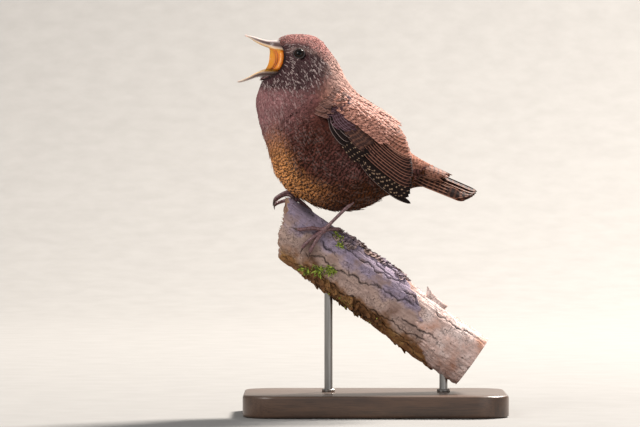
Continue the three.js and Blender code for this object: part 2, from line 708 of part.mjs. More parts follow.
function makeLeg(foot, torsoClear) {
  const hub = toePoint(foot.hub, TOE_RADIUS + 0.15);
  const points = [0, 0.25, 0.5, 0.75, 1].map((f) => hub.clone().lerp(foot.ankle, f));
  const leg = tube(points, [0.9, TARSUS_RADIUS, TARSUS_RADIUS, 0.8, 1.1], 8);
  return largest(leg.subtract(toesOf(foot, GAP)).subtract(torsoClear));
}

// The parts put together

const FINISHES = {
  crown: { color: 0x7d5340, roughness: 0.85 },
  back: { color: 0x8a5a42, roughness: 0.85 },
  breast: { color: 0x84604a, roughness: 0.9 },
  wing: { color: 0x5f3f30, roughness: 0.8 },
  horn: { color: 0xb7977f, roughness: 0.4 },
  gape: { color: 0xe08a1e, roughness: 0.35 },
  eye: { color: 0x0c0908, roughness: 0.08 },
  leg: { color: 0x6b4238, roughness: 0.6 },
  bark: { color: 0x9a8a84, roughness: 0.9 },
  steel: { color: 0x8c8a86, roughness: 0.35, metalness: 1 },
  base: { color: 0x2a2522, roughness: 0.5 },
};

const wren = new THREE.Group();

function add(name, solid, finish) {
  const made = solid.getMesh();
  const geometry = new THREE.BufferGeometry();
  geometry.setAttribute("position", new THREE.BufferAttribute(new Float32Array(made.vertProperties), 3));
  geometry.setIndex(new THREE.BufferAttribute(new Uint32Array(made.triVerts), 1));
  geometry.computeVertexNormals();
  const mesh = new THREE.Mesh(geometry, new THREE.MeshStandardMaterial(FINISHES[finish]));
  mesh.name = name;
  wren.add(mesh);
}

const body = bodySolid();
const bodyClear = bodySolid(GAP);
const afterHead = rearOf(body, HEAD_CUT);
const afterNeck = rearOf(body, NECK_CUT);

add("head", makeHead(body), "crown");
add("neck", frontOf(afterHead, NECK_CUT), "breast");
add("torso", frontOf(afterNeck, TAIL_CUT), "breast");

add("bill_upper", makeUpperBill(), "horn");
add("bill_lower", makeLowerBill(), "horn");
add("mouth_lining", makeMouth(), "gape");
add("tongue", makeTongue(), "gape");

for (const [name, side] of Object.entries(SIDES)) {
  add("eye_" + name, ball(eyeCentre(side).centre, EYE_RADIUS), "eye");
  add("wing_" + name, makeWing(side), "wing");
}
add("tail", makeTail(rearOf(body, TAIL_CUT), frontOf(bodyClear, TAIL_CUT)), "wing");

const rodShapes = Object.values(ROD_X).map((x) => ({ x, heights: rodHeights(x) }));
const branch = makeBranch(rodShapes.map(({ x, heights }) => rod(x, heights[0], heights[1] + GAP, ROD_RADIUS + GAP)));
add("perch_branch", branch, "bark");
for (const [name, foot] of Object.entries(FEET)) {
  add("foot_" + name, makeFoot(foot, branch, bodyClear), "leg");
  add("leg_" + name, makeLeg(foot, bodyClear), "leg");
}
Object.keys(ROD_X).forEach((name, i) => {
  add("stand_rod_" + name, rod(rodShapes[i].x, ...rodShapes[i].heights, ROD_RADIUS), "steel");
});
add("stand_base", makeBase(rodShapes.map(({ x, heights }) => rod(x, heights[0] - GAP, heights[1], ROD_RADIUS + GAP))), "base");

export default wren;
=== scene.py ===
"""A singing wren on the broken end of a branch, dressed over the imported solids: skin, coat, feathers, bill,
feet, bark and stand. Metres, +Z up; the bird faces -X and its left side faces -Y, towards the camera."""
import math

import bpy
import numpy as np
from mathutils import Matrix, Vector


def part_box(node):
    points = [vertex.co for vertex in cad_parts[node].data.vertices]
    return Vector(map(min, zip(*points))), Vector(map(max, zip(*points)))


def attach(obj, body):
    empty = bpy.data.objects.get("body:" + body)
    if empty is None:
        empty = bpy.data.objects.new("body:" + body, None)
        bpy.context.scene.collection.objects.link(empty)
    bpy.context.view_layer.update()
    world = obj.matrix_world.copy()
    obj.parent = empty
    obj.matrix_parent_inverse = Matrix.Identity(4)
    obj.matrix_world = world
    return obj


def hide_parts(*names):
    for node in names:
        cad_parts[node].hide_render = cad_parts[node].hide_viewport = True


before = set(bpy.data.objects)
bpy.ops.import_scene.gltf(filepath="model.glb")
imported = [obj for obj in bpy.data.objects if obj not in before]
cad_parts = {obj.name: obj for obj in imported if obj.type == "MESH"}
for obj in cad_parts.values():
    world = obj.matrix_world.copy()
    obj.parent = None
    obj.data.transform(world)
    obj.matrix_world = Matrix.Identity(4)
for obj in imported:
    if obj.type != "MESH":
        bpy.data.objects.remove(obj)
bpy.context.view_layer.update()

MM = 0.001
LEFT = -1
RIGHT = 1
SIDES = {"left": LEFT, "right": RIGHT}
rng = np.random.default_rng(7)
BAKE_MAP = "OFBake"

# The camera. The photo's width spans VIEW_WIDTH at the bird, and VIEW_CENTRE is in the middle of it.
VIEW_WIDTH = 0.2336
VIEW_CENTRE = (-0.0201, 0.0, 0.0732)
CAMERA_DISTANCE = 1.5
CAMERA_RISE = 0.012
SENSOR_WIDTH = 36.0

# The body's rungs, as in the part: a point of the back, one of the belly, the half width and its skew.
# Sizes in lists like this one are in millimetres and are turned into metres at once.
BODY_RUNGS = np.array([
    (-41.2, 134.3, -43.8, 124.1, 2.2),
    (-36.1, 136.2, -41.2, 122.4, 3.7),
    (-31.8, 138.1, -42.5, 118.6, 5.4),
    (-26.3, 138.7, -43.5, 114.6, 7.0),
    (-20.8, 137.1, -43.0, 109.9, 8.6),
    (-16.8, 133.0, -41.8, 104.4, 10.4),
    (-13.5, 128.1, -39.8, 98.9, 12.8),
    (-10.6, 122.5, -38.1, 93.4, 15.5),
    (-6.6, 117.2, -36.0, 87.6, 17.2),
    (-0.7, 113.0, -31.9, 82.1, 17.9),
    (5.1, 108.4, -24.5, 77.5, 17.1),
    (9.5, 103.7, -15.0, 74.1, 14.7),
    (11.7, 98.9, -4.7, 75.2, 11.3),
    (13.1, 95.3, 4.7, 79.9, 7.8),
    (16.4, 92.9, 12.0, 81.9, 5.4),
    (19.7, 90.9, 17.9, 83.4, 3.6),
]) * MM
BODY_SKEW = np.array([0, 0, 0.02, 0.06, 0.08, 0.04, 0, -0.03, -0.05, -0.05, -0.04, 0, 0, 0, 0, 0])
LAST_RUNG = len(BODY_RUNGS) - 1
SKIN_RINGS = 150
SKIN_SIDES = 96
COAT_DEPTH = {"face": 0.5 * MM, "body": 1.7 * MM}

MOUTH_CENTRE = np.array([-41, 0, 130.3]) * MM
MOUTH_RADIUS = 7.9 * MM
EYE_PLACE = np.array([-27.7, 131.4]) * MM
EYE_RADIUS = 2.3 * MM
EYE_STANDS_OUT = 0.85 * MM
EYE_CLEARANCE = 2.05 * MM

WING_CLEARANCE = 0.75 * MM
WING_GROWTH = {"from": 9.5, "to": 14, "belly": 9 * MM, "back": 2.2 * MM, "half": 3.4 * MM}

BRANCH_START = np.array([-32.9, 1, 67.9]) * MM
BRANCH_RADIUS = 10.3 * MM
BRANCH_LENGTH = 84 * MM
BRANCH_SLOPE = math.radians(35.5)
BREAK_SLANT = 5.6 * MM
DOWN_BRANCH = np.array([math.cos(BRANCH_SLOPE), 0, -math.sin(BRANCH_SLOPE)])


# Sums

def tone(red, green, blue):
    """A linear colour from sRGB values of 0 to 255."""
    value = np.array([red, green, blue]) / 255
    return np.where(value <= 0.04045, value / 12.92, ((value + 0.055) / 1.055) ** 2.4)


def smooth(value, low, high):
    f = np.clip((np.asarray(value, dtype=float) - low) / (high - low), 0, 1)
    return f * f * (3 - 2 * f)


def mix(a, b, f):
    return a + (b - a) * f


def unit(vectors):
    return vectors / np.maximum(np.linalg.norm(vectors, axis=-1, keepdims=True), 1e-12)


def distance(a, b):
    return np.linalg.norm(a - b, axis=-1)


def grid(rows, columns):
    return np.meshgrid(rows, columns, indexing="ij")


def stack(*values):
    return np.stack(values, axis=-1)


def whole_turn(count):
    """Evenly spaced angles of one turn."""
    return 2 * np.pi * np.arange(count) / count


def towards(first, second, angle):
    """Directions that start at the first one and turn by an angle towards the second."""
    return np.cos(angle)[..., None] * first + np.sin(angle)[..., None] * second


def each(values):
    """One value for each vane, to be spread over its rows and columns."""
    return values[:, None, None]


def through(values, t):
    """A smooth value through a list of rows, at places t counted in steps of the list."""
    last = len(values) - 1
    i = np.clip(np.floor(t).astype(int), 0, last - 1)
    f = t - i
    if values.ndim > 1:
        f = f[..., None]
    a, b, c, d = (values[np.clip(i + k, 0, last)] for k in (-1, 0, 1, 2))
    return b + 0.5 * f * (c - a + f * (2 * a - 5 * b + 4 * c - d + f * (3 * (b - c) + d - a)))


# The weights of a sine that scatters whole numbers
NOISE_WEIGHTS = np.array([127.1, 311.7, 74.7])
NOISE_SEED_STEP = 53.3
NOISE_SCATTER = 43758.5453


def lattice_noise(points, seed=0):
    """Smooth noise from -1 to 1 that changes over a distance of 1."""
    base = np.floor(points)
    f = points - base
    f = f * f * (3 - 2 * f)
    total = np.zeros(points.shape[:-1])
    for corner in np.ndindex(2, 2, 2):
        phase = (base + np.array(corner)) @ NOISE_WEIGHTS + seed * NOISE_SEED_STEP
        value = 2 * np.modf(np.abs(np.sin(phase) * NOISE_SCATTER))[0] - 1
        weight = np.prod(np.where(np.array(corner) == 1, f, 1 - f), axis=-1)
        total += value * weight
    return total


def rough_noise(points, seed=0, octaves=3):
    return sum(lattice_noise(points * 2 ** k, seed + k) / 2 ** k for k in range(octaves))


# Meshes

def build_mesh(name, points, polygons, attributes=None, bake_map=None):
    """A smooth object from points and a list of polygon arrays, with point attributes and a UV map."""
    mesh = bpy.data.meshes.new(name)
    mesh.vertices.add(len(points))
    mesh.vertices.foreach_set("co", np.asarray(points, dtype=np.float32).ravel())
    corners = np.concatenate([polygon.ravel() for polygon in polygons]).astype(np.int32)
    sizes = np.concatenate([np.full(len(polygon), polygon.shape[1]) for polygon in polygons])
    mesh.loops.add(len(corners))
    mesh.loops.foreach_set("vertex_index", corners)
    mesh.polygons.add(len(sizes))
    mesh.polygons.foreach_set("loop_start", (np.cumsum(sizes) - sizes).astype(np.int32))
    mesh.update(calc_edges=True)
    for key, values in (attributes or {}).items():
        values = np.asarray(values, dtype=np.float32)
        kind, field = ("FLOAT", "value") if values.ndim == 1 else ("FLOAT_VECTOR", "vector")
        mesh.attributes.new(key, kind, "POINT").data.foreach_set(field, values.ravel())
    if bake_map is not None:
        places = np.asarray(bake_map, dtype=np.float32)[corners]
        mesh.uv_layers.new(name=BAKE_MAP).data.foreach_set("uv", places.ravel())
    mesh.polygons.foreach_set("use_smooth", np.full(len(sizes), True))
    piece = bpy.data.objects.new(name, mesh)
    bpy.context.scene.collection.objects.link(piece)
    return piece


def dress(piece, material, replaced=()):
    """Gives a piece its material, hangs it from the root, and hides the parts it stands for."""
    piece.data.materials.append(material)
    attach(piece, "root")
    if replaced:
        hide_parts(*replaced)
    return piece


def grid_quads(rows, columns, closed=False):
    """Quads of a grid of points, whose last column can meet its first."""
    i, j = grid(np.arange(rows - 1), np.arange(columns if closed else columns - 1))
    k = (j + 1) % columns
    near, far = i * columns, (i + 1) * columns
    return stack(near + j, near + k, far + k, far + j).reshape(-1, 4)


class Shape:
    """Points and polygons of one piece, gathered bit by bit."""

    def __init__(self):
        self.points = []
        self.polygons = []
        self.values = {}
        self.count = 0

    def add(self, points, *polygons, **values):
        points = np.asarray(points, dtype=float).reshape(-1, 3)
        self.points.append(points)
        self.polygons.extend(polygon + self.count for polygon in polygons)
        for key, value in values.items():
            value = np.asarray(value, dtype=float)
            if value.ndim == 0 or value.shape[0] != len(points):
                value = np.broadcast_to(value, (len(points),) + value.shape)
            self.values.setdefault(key, []).append(value)
        self.count += len(points)

    def loft(self, rings, **values):
        """A closed body from rings of points, each end closed by a fan."""
        rings = np.asarray(rings)
        rows, columns = rings.shape[:2]
        points = np.concatenate([rings.reshape(-1, 3), rings[0].mean(0)[None], rings[-1].mean(0)[None]])
        j = np.arange(columns)
        k = (j + 1) % columns
        last = (rows - 1) * columns
        near = stack(np.full(columns, rows * columns), k, j)
        far = stack(np.full(columns, rows * columns + 1), last + j, last + k)
        values = {
            key: np.concatenate([value.reshape(-1, *value.shape[2:]), value[:1, 0], value[-1:, 0]])
            for key, value in values.items()
        }
        self.add(points, grid_quads(rows, columns, closed=True), near, far, **values)

    def build(self, name):
        """The piece's object. The values named BAKE_MAP are its UV map."""
        attributes = {key: np.concatenate(parts) for key, parts in self.values.items()}
        bake_map = attributes.pop(BAKE_MAP, None)
        return build_mesh(name, np.concatenate(self.points), self.polygons, attributes, bake_map)


def sweep(path, radii, sides=12, flatten=1.0, up=(0, 0, 1)):
    """Rings of a tube along a path."""
    path = np.asarray(path)
    along = unit(np.gradient(path, axis=0))
    across = unit(np.cross(along, np.asarray(up, dtype=float)))
    above = np.cross(across, along)
    angle = whole_turn(sides)[None, :, None]
    ring = np.cos(angle) * across[:, None] + flatten * np.sin(angle) * above[:, None]
    return path[:, None] + ring * each(np.asarray(radii))


def vane_surface(top, thickness, normal):
    """Both faces of many vanes, (count, rows, columns), whose edges meet."""
    rows, columns = top.shape[1:3]
    inner = np.zeros((rows, columns))
    inner[1:-1, 1:-1] = 1
    bottom = top - normal * (thickness * inner)[None, ..., None]
    points = np.concatenate([top.reshape(len(top), -1, 3), bottom.reshape(len(top), -1, 3)], axis=1)
    quads = grid_quads(rows, columns)
    both = np.concatenate([quads, quads[:, ::-1] + rows * columns])
    starts = np.arange(len(top)) * 2 * rows * columns
    return points.reshape(-1, 3), (both[None] + starts[:, None, None]).reshape(-1, 4)


def both_faces(values):
    """Values at the points of many vanes, (count, rows, columns, parts), given to both of their faces."""
    values = values.reshape(len(values), -1, values.shape[-1])
    return np.concatenate([values, values], axis=1).reshape(-1, values.shape[-1])


def per_vane(values, size):
    """One value for each vane, repeated for each of its points."""
    return np.repeat(values, size, axis=0)


# The body's surface

def rung_at(t, back=0.0, belly=0.0, half=0.0):
    rung = through(BODY_RUNGS, t)
    top, bottom = rung[..., 0:2], rung[..., 2:4]
    up = unit(top - bottom)
    top = top + up * np.asarray(back)[..., None]
    bottom = bottom - up * np.asarray(belly)[..., None]
    return (top + bottom) / 2, (top - bottom) / 2, rung[..., 4] + half, through(BODY_SKEW, t)


def body_place(t, turn):
    """Points of the coat's outer surface. turn is 0 along the back and a quarter turn on the left side."""
    middle, reach, half, skew = rung_at(t)
    u = np.cos(turn)
    return stack(
        middle[..., 0] + reach[..., 0] * u,
        -half * np.sin(turn) * (1 + skew * u),
        middle[..., 1] + reach[..., 1] * u,
    )


def body_frame(t, turn):
    """Place, direction towards the tail, outward normal, and how far one step of t goes there."""
    held = np.clip(t, 0.02, LAST_RUNG - 0.02)
    step = 0.01
    place = body_place(held, turn)
    forward = (body_place(held + step, turn) - body_place(held - step, turn)) / (2 * step)
    round_ = body_place(held, turn + step) - body_place(held, turn - step)
    normal = unit(np.cross(round_, forward))
    beyond = (t - held)[..., None]
    return place + forward * beyond, unit(forward), normal, np.linalg.norm(forward, axis=-1)


def coat_depth(t):
    return mix(COAT_DEPTH["face"], COAT_DEPTH["body"], smooth(t, 2, 8))


def hollow(points, radius):
    """Pushes what lies in the open mouth back against the hollow face."""
    drop = points[..., 2] - MOUTH_CENTRE[2]
    reach = np.sqrt(np.maximum(radius ** 2 - drop ** 2, 0))
    arc = MOUTH_CENTRE[0] + reach
    inside = (np.abs(drop) < radius) & (points[..., 0] < arc)
    points[..., 0] = np.where(inside, arc, points[..., 0])
    return points


def along_body():
    """Lengths along the side from the face, one for each hundredth of a rung."""
    t = np.linspace(0, LAST_RUNG, 100 * LAST_RUNG + 1)
    line = body_place(t, np.full_like(t, np.pi / 2)) * np.array([1, 0.4, 1])
    return t, np.concatenate([[0], np.cumsum(np.linalg.norm(np.diff(line, axis=0), axis=1))])


BODY_T, BODY_S = along_body()


def unwrapped(t, turn):
    """The skin's own unwrap: round the body across, and from face to tail upwards."""
    round_ = (np.mod(turn + np.pi, 2 * np.pi)) / (2 * np.pi)
    length = np.interp(t, BODY_T, BODY_S) / BODY_S[-1]
    return stack(0.02 + 0.96 * round_, 0.02 + 0.96 * length)


# The markings, the same for skin and coat, with painted sheen on the nape

CROWN = tone(190, 132, 124)
# The nape's salmon, made paler and greyer as painted sheen of the light from behind
NAPE_AND_SHEEN = tone(184, 146, 134)
CHEEK = tone(42, 24, 28)
BROW = tone(132, 104, 96)
THROAT = tone(136, 94, 94)
BREAST = tone(84, 46, 38)
BUFF = tone(220, 150, 90)
FLANK = tone(104, 68, 66)
MANTLE = tone(172, 124, 108)
RUMP = tone(172, 118, 98)
VENT = tone(78, 42, 20)
DARK_BAR = tone(34, 20, 14)
PALE_TIP = tone(206, 184, 178)


def layer(base, colour, mask):
    return mix(base, colour, mask[..., None])


def markings(t, turn, place):
    """Colour, strength of the dark bars and strength of the pale marks at places of the coat."""
    u = np.cos(turn)
    x, z = place[..., 0] / MM, place[..., 2] / MM
    colour = layer(THROAT + 0 * place, BREAST, smooth(t, 4.0, 7.4))
    colour = layer(colour, FLANK, smooth(t, 7.5, 10.5) * smooth(u, -0.75, 0.1))
    colour = layer(colour, BUFF, smooth(t, 4.5, 7.5) * smooth(u, -0.45, -0.92) * (1 - smooth(t, 8.6, 10.8)))
    colour = layer(colour, VENT, smooth(t, 9.2, 11.2) * smooth(u, 0.2, -0.5))
    colour = layer(colour, MANTLE, smooth(t, 5, 7) * smooth(u, 0.25, 0.6))
    colour = layer(colour, RUMP, smooth(t, 10.5, 12.5) * smooth(u, 0.1, 0.6))
    head = 1 - smooth(t, 4.8, 6.2)
    # The top of the neck and back takes the nape's tone, partly painted sheen
    colour = layer(colour, NAPE_AND_SHEEN, smooth(t, 3.8, 5.4) * smooth(u, 0.5, 0.85) * (1 - smooth(t, 6.5, 8.5)))
    crown_edge = np.interp(x, [-40, -34, -26, -21, -18, -14], [134.2, 134.8, 135.8, 132.5, 129.5, 125])
    above_eye = smooth(z - crown_edge, -1.0, 1.0)
    colour = layer(colour, CROWN, (1 - smooth(t, 4.2, 5.4)) * above_eye)
    below = smooth(z, 118.5, 121.5) * (1 - above_eye)
    behind = 1 - smooth(x, -18.5, -14.5)
    cheek = head * below * behind
    colour = layer(colour, CHEEK, 0.9 * cheek)
    brow_height = 133.6 + 0.10 * (x + 28) - 0.02 * (x + 28) ** 2
    brow = np.exp(-((z - brow_height) / 0.85) ** 2) * smooth(x, -35, -31) * (1 - smooth(x, -22, -17))
    colour = layer(colour, BROW, 0.6 * brow * head)
    belly_bars = mix(0.4 * smooth(t, 4, 5), 1, smooth(t, 5.2, 7.8)) * smooth(u, 0.35, -0.1)
    crown_bars = 0.8 * head * above_eye
    back_bars = 0.45 * smooth(t, 5.5, 8) * smooth(u, 0, 0.5)
    bars = np.maximum(np.maximum(belly_bars, back_bars), crown_bars)
    throat = smooth(t, 3.5, 5) * (1 - smooth(t, 6.5, 8)) * smooth(u, 0.2, -0.4)
    pale = 0.85 * cheek + 0.35 * head + 0.12 * belly_bars + 0.1 * throat
    return colour, bars, np.minimum(pale, 1)


# Materials

SEED_SCATTER = 7.31


class Graph:
    """A material whose nodes are made by short calls."""

    def __init__(self, name, **shader):
        self.material = bpy.data.materials.new(name)
        self.material.use_nodes = True
        self.tree = self.material.node_tree
        self.shader = self.tree.nodes["Principled BSDF"]
        for key, value in shader.items():
            self.set(self.shader, key.replace("_", " "), value)

    def set(self, node, key, value):
        socket = node.inputs[key]
        if isinstance(value, bpy.types.NodeSocket):
            self.tree.links.new(value, socket)
        elif np.ndim(value) == 1 and socket.type == "RGBA":
            socket.default_value = (*value[:3], 1)
        else:
            socket.default_value = value

    def node(self, kind, inputs=None, output=0, **settings):
        node = self.tree.nodes.new("ShaderNode" + kind)
        for key, value in settings.items():
            setattr(node, key, value)
        for key, value in (inputs or {}).items():
            self.set(node, key, value)
        return node.outputs[output]

    def math(self, operation, a, b=0.0):
        return self.node("Math", {0: a, 1: b}, operation=operation)

    def plus(self, a, b):
        return self.math("ADD", a, b)

    def minus(self, a, b):
        return self.math("SUBTRACT", a, b)

    def times(self, a, b):
        return self.math("MULTIPLY", a, b)

    def size(self, a):
        return self.math("ABSOLUTE", a)

    def wave(self, phase, spacing):
        return self.math("SINE", self.times(phase, 2 * math.pi / spacing))

    def mix(self, factor, a, b, blend="MIX"):
        return self.node("Mix", {0: factor, 6: a, 7: b}, 2, data_type="RGBA", blend_type=blend)

    def attribute(self, name, output="Fac"):
        return self.node("Attribute", output=output, attribute_name=name)

    def split(self, name):
        """The three values of an attribute of the mesh."""
        return self.node("SeparateXYZ", {0: self.attribute(name, "Vector")}).node.outputs

    def join(self, x, y, z):
        return self.node("CombineXYZ", {0: x, 1: y, 2: z})

    def stretch(self, vector, scale=(1, 1, 1), rotation=(0, 0, 0)):
        return self.node("Mapping", {"Vector": vector, "Scale": scale, "Rotation": rotation})

    def place(self, scale=(1, 1, 1), rotation=(0, 0, 0)):
        return self.stretch(self.node("TexCoord", output="Object"), scale, rotation)

    def noise(self, vector, scale, detail=3.0, rough=0.55, output="Fac"):
        inputs = {"Vector": vector, "Scale": scale, "Detail": detail, "Roughness": rough}
        return self.node("TexNoise", inputs, output)

    def ramp(self, value, *stops):
        """Colours by value. Each stop is a position with a grey, or with sRGB values of 0 to 255."""
        output = self.node("ValToRGB", {0: value})
        elements = output.node.color_ramp.elements
        for i, (position, shade) in enumerate(stops):
            element = elements[i] if i < 2 else elements.new(position)
            element.position = position
            element.color = (*(tone(*shade) if np.ndim(shade) else (shade,) * 3), 1)
        return output

    def step(self, value, low, high):
        """From 0 at low to 1 at high, smoothly."""
        return self.node("MapRange", {0: value, 1: low, 2: high}, interpolation_type="SMOOTHSTEP")

    def fall(self, value, low, high):
        return self.minus(1.0, self.step(value, low, high))

    def grained(self, strength, colour, value, dark, pale, span=(0.3, 0.7)):
        """The colour, darker and lighter with a noise."""
        return self.mix(strength, colour, self.ramp(value, (span[0], dark), (span[1], pale)), "MULTIPLY")

    def varied(self, colour, seed, darkest, spread):
        """The colour, darker and lighter from one feather to the next."""
        shade = self.plus(darkest, self.times(self.math("FRACT", self.times(seed, SEED_SCATTER)), spread))
        return self.mix(1.0, colour, self.join(shade, shade, shade), "MULTIPLY")

    def bump(self, height, strength, distance):
        normal = self.node("Bump", {"Height": height, "Strength": strength, "Distance": distance})
        self.set(self.shader, "Normal", normal)

    def colour(self, value):
        self.set(self.shader, "Base Color", value)
        return self


def barbs(graph, across, along_mm, seed, fineness):
    """The fine slanting lines of a feather's barbs."""
    slant = graph.plus(along_mm, graph.times(graph.size(across), -0.9))
    vector = graph.join(graph.times(across, 0.6), graph.times(slant, fineness), seed)
    return graph.noise(vector, 1.0, detail=2.0, rough=0.6)


def coat_material(name, spacing):
    """Small body feathers: the coat's colour with wavy dark bars, pale tips and fine barbs."""
    graph = Graph(name, Roughness=0.85, Specular_IOR_Level=0.05, Sheen_Weight=0.05, Sheen_Roughness=0.4)
    across, along, length = graph.split("vane")
    bars, pale, seed = graph.split("trait")
    wobble = graph.times(graph.noise(graph.join(across, length, seed), 1.6), 1.3)
    bow = graph.times(graph.times(across, across), 0.35)
    phase = graph.plus(graph.minus(graph.plus(length, wobble), bow), seed)
    bar = graph.times(graph.step(graph.wave(phase, spacing), -0.25, 0.35), bars)
    colour = graph.mix(graph.times(bar, 0.9), graph.attribute("coat", "Vector"), DARK_BAR)
    shaft = graph.times(graph.fall(graph.size(across), 0.05, 0.3), 0.7)
    tip = graph.times(graph.step(along, 0.72, 1.0), 0.5)
    colour = graph.mix(graph.times(graph.math("MAXIMUM", shaft, tip), pale), colour, PALE_TIP)
    line = barbs(graph, across, length, seed, 9.0)
    colour = graph.grained(0.75, colour, line, 0.62, 1.3)
    graph.bump(line, 0.35, 0.0001)
    return graph.colour(graph.varied(colour, seed, 0.86, 0.3)).material


def quill_material(name, vane, mark, fringe, spacing, reach, start, strength, edging):
    """Wing and tail feathers: bars that reach in from the edge, a dark shaft and a paler fringe."""
    graph = Graph(name, Roughness=0.6, Specular_IOR_Level=0.1, Sheen_Weight=0.02, Sheen_Roughness=0.4)
    across, _, length = graph.split("vane")
    seed = graph.attribute("seed")
    spot = graph.join(across, length, seed)
    grain = graph.noise(spot, 2.5)
    phase = graph.plus(graph.plus(length, graph.times(across, 0.35)), graph.times(grain, 0.7))
    inwards = graph.step(across, 1 - reach, min(1.0, 1.25 - reach))
    bar = graph.times(graph.step(graph.wave(phase, spacing), start, start + 0.45), inwards)
    bar = graph.times(bar, graph.ramp(graph.noise(spot, 1.1), (0.35, 0.35), (0.6, 1.0)))
    colour = graph.mix(graph.times(bar, strength), tone(*vane), tone(*mark))
    edge = graph.times(graph.step(graph.size(across), 0.8, 0.95), edging)
    colour = graph.mix(edge, colour, tone(*fringe))
    shaft = graph.times(graph.fall(graph.size(across), 0.02, 0.09), 0.7)
    colour = graph.mix(shaft, colour, DARK_BAR * 0.7)
    line = barbs(graph, across, length, seed, 7.0)
    colour = graph.grained(0.6, colour, line, 0.65, 1.25)
    graph.bump(line, 0.5, 0.00012)
    return graph.colour(graph.varied(colour, seed, 0.82, 0.36)).material


def skin_material():
    graph = Graph("skin_under_coat", Roughness=0.85, Specular_IOR_Level=0.2)
    down = graph.noise(graph.place(), 900.0, detail=4.0)
    graph.bump(down, 0.6, 0.0003)
    colour = graph.grained(0.9, graph.attribute("coat", "Vector"), down, 0.3, 0.85, (0.3, 0.75))
    return graph.colour(colour).material


def bill_material():
    graph = Graph("bill_horn", Roughness=0.32, Coat_Weight=0.3, Coat_Roughness=0.2, Subsurface_Weight=0.15,
                  Subsurface_Radius=(0.6, 0.35, 0.2), Subsurface_Scale=0.0012)
    streak = graph.noise(graph.place((300, 1500, 1500)), 1.0)
    horn = graph.ramp(graph.attribute("ridge"), (0.0, (236, 196, 140)), (0.2, (212, 184, 164)),
                      (0.42, (84, 60, 54)), (0.66, (96, 72, 66)), (0.9, (206, 190, 184)))
    pale_tip = graph.times(graph.step(graph.attribute("along"), 0.45, 1.0), 0.7)
    horn = graph.mix(pale_tip, horn, tone(226, 208, 196))
    graph.bump(streak, 0.25, 0.0001)
    return graph.colour(graph.grained(0.5, horn, streak, 0.7, 1.15)).material


def mouth_material():
    graph = Graph("mouth_skin", Roughness=0.28, Coat_Weight=0.3, Coat_Roughness=0.15, Subsurface_Weight=0.35,
                  Subsurface_Radius=(1.0, 0.45, 0.12), Subsurface_Scale=0.002)
    fold = graph.noise(graph.place(), 700.0)
    # The ramp paints shade: yellow-orange at the rim, darker orange in the fold, darkest down the throat
    colour = graph.ramp(graph.attribute("depth"), (0.0, (238, 150, 34)), (0.3, (216, 112, 16)),
                        (0.5, (206, 112, 42)), (0.72, (120, 40, 8)), (1.0, (60, 16, 5)))
    graph.bump(fold, 0.4, 0.0003)
    return graph.colour(graph.grained(0.4, colour, fold, 0.72, 1.12)).material


def eye_material():
    graph = Graph("eye_wet", Roughness=0.09, IOR=1.33, Specular_IOR_Level=0.3)
    off_axis = graph.attribute("off_axis")
    rays = graph.noise(graph.place(), 1800.0, detail=2.0)
    iris = graph.mix(graph.ramp(rays, (0.35, 0.0), (0.7, 1.0)), tone(20, 13, 10), tone(46, 29, 20))
    colour = graph.mix(graph.step(off_axis, 0.40, 0.46), tone(4, 4, 4), iris)
    colour = graph.mix(graph.step(off_axis, 0.72, 0.8), colour, tone(14, 10, 8))
    return graph.colour(colour).material


def speckled(name, scale, dark, pale, stretched=(1, 1, 1), **shader):
    """A material of two tones, as its graph, its grain and its colour."""
    graph = Graph(name, **shader)
    grain = graph.noise(graph.place(stretched), scale)
    return graph, grain, graph.ramp(grain, (0.3, dark), (0.7, pale))


def lid_material():
    graph, grain, dark = speckled("eyelid_skin", 2500.0, (30, 22, 22), (62, 48, 46), Roughness=0.55)
    graph.bump(grain, 0.4, 0.0001)
    return graph.colour(graph.mix(graph.attribute("upper"), dark, tone(176, 158, 150))).material


def leg_material():
    graph, grain, colour = speckled("leg_scales", 1600.0, (70, 44, 46), (136, 98, 100), Roughness=0.42,
                                    Coat_Weight=0.15, Coat_Roughness=0.3)
    edge = graph.math("FRACT", graph.attribute("scute"))
    seam = graph.plus(graph.step(edge, 0.86, 1.0), graph.fall(edge, 0.0, 0.1))
    graph.bump(graph.minus(grain, seam), 0.5, 0.0001)
    return graph.colour(graph.mix(graph.times(seam, 0.6), colour, tone(58, 34, 34))).material


def claw_material():
    graph, _, colour = speckled("claw_horn", 1500.0, (34, 22, 20), (96, 70, 62), Roughness=0.3,
                                Coat_Weight=0.3, Coat_Roughness=0.2)
    return graph.colour(colour).material


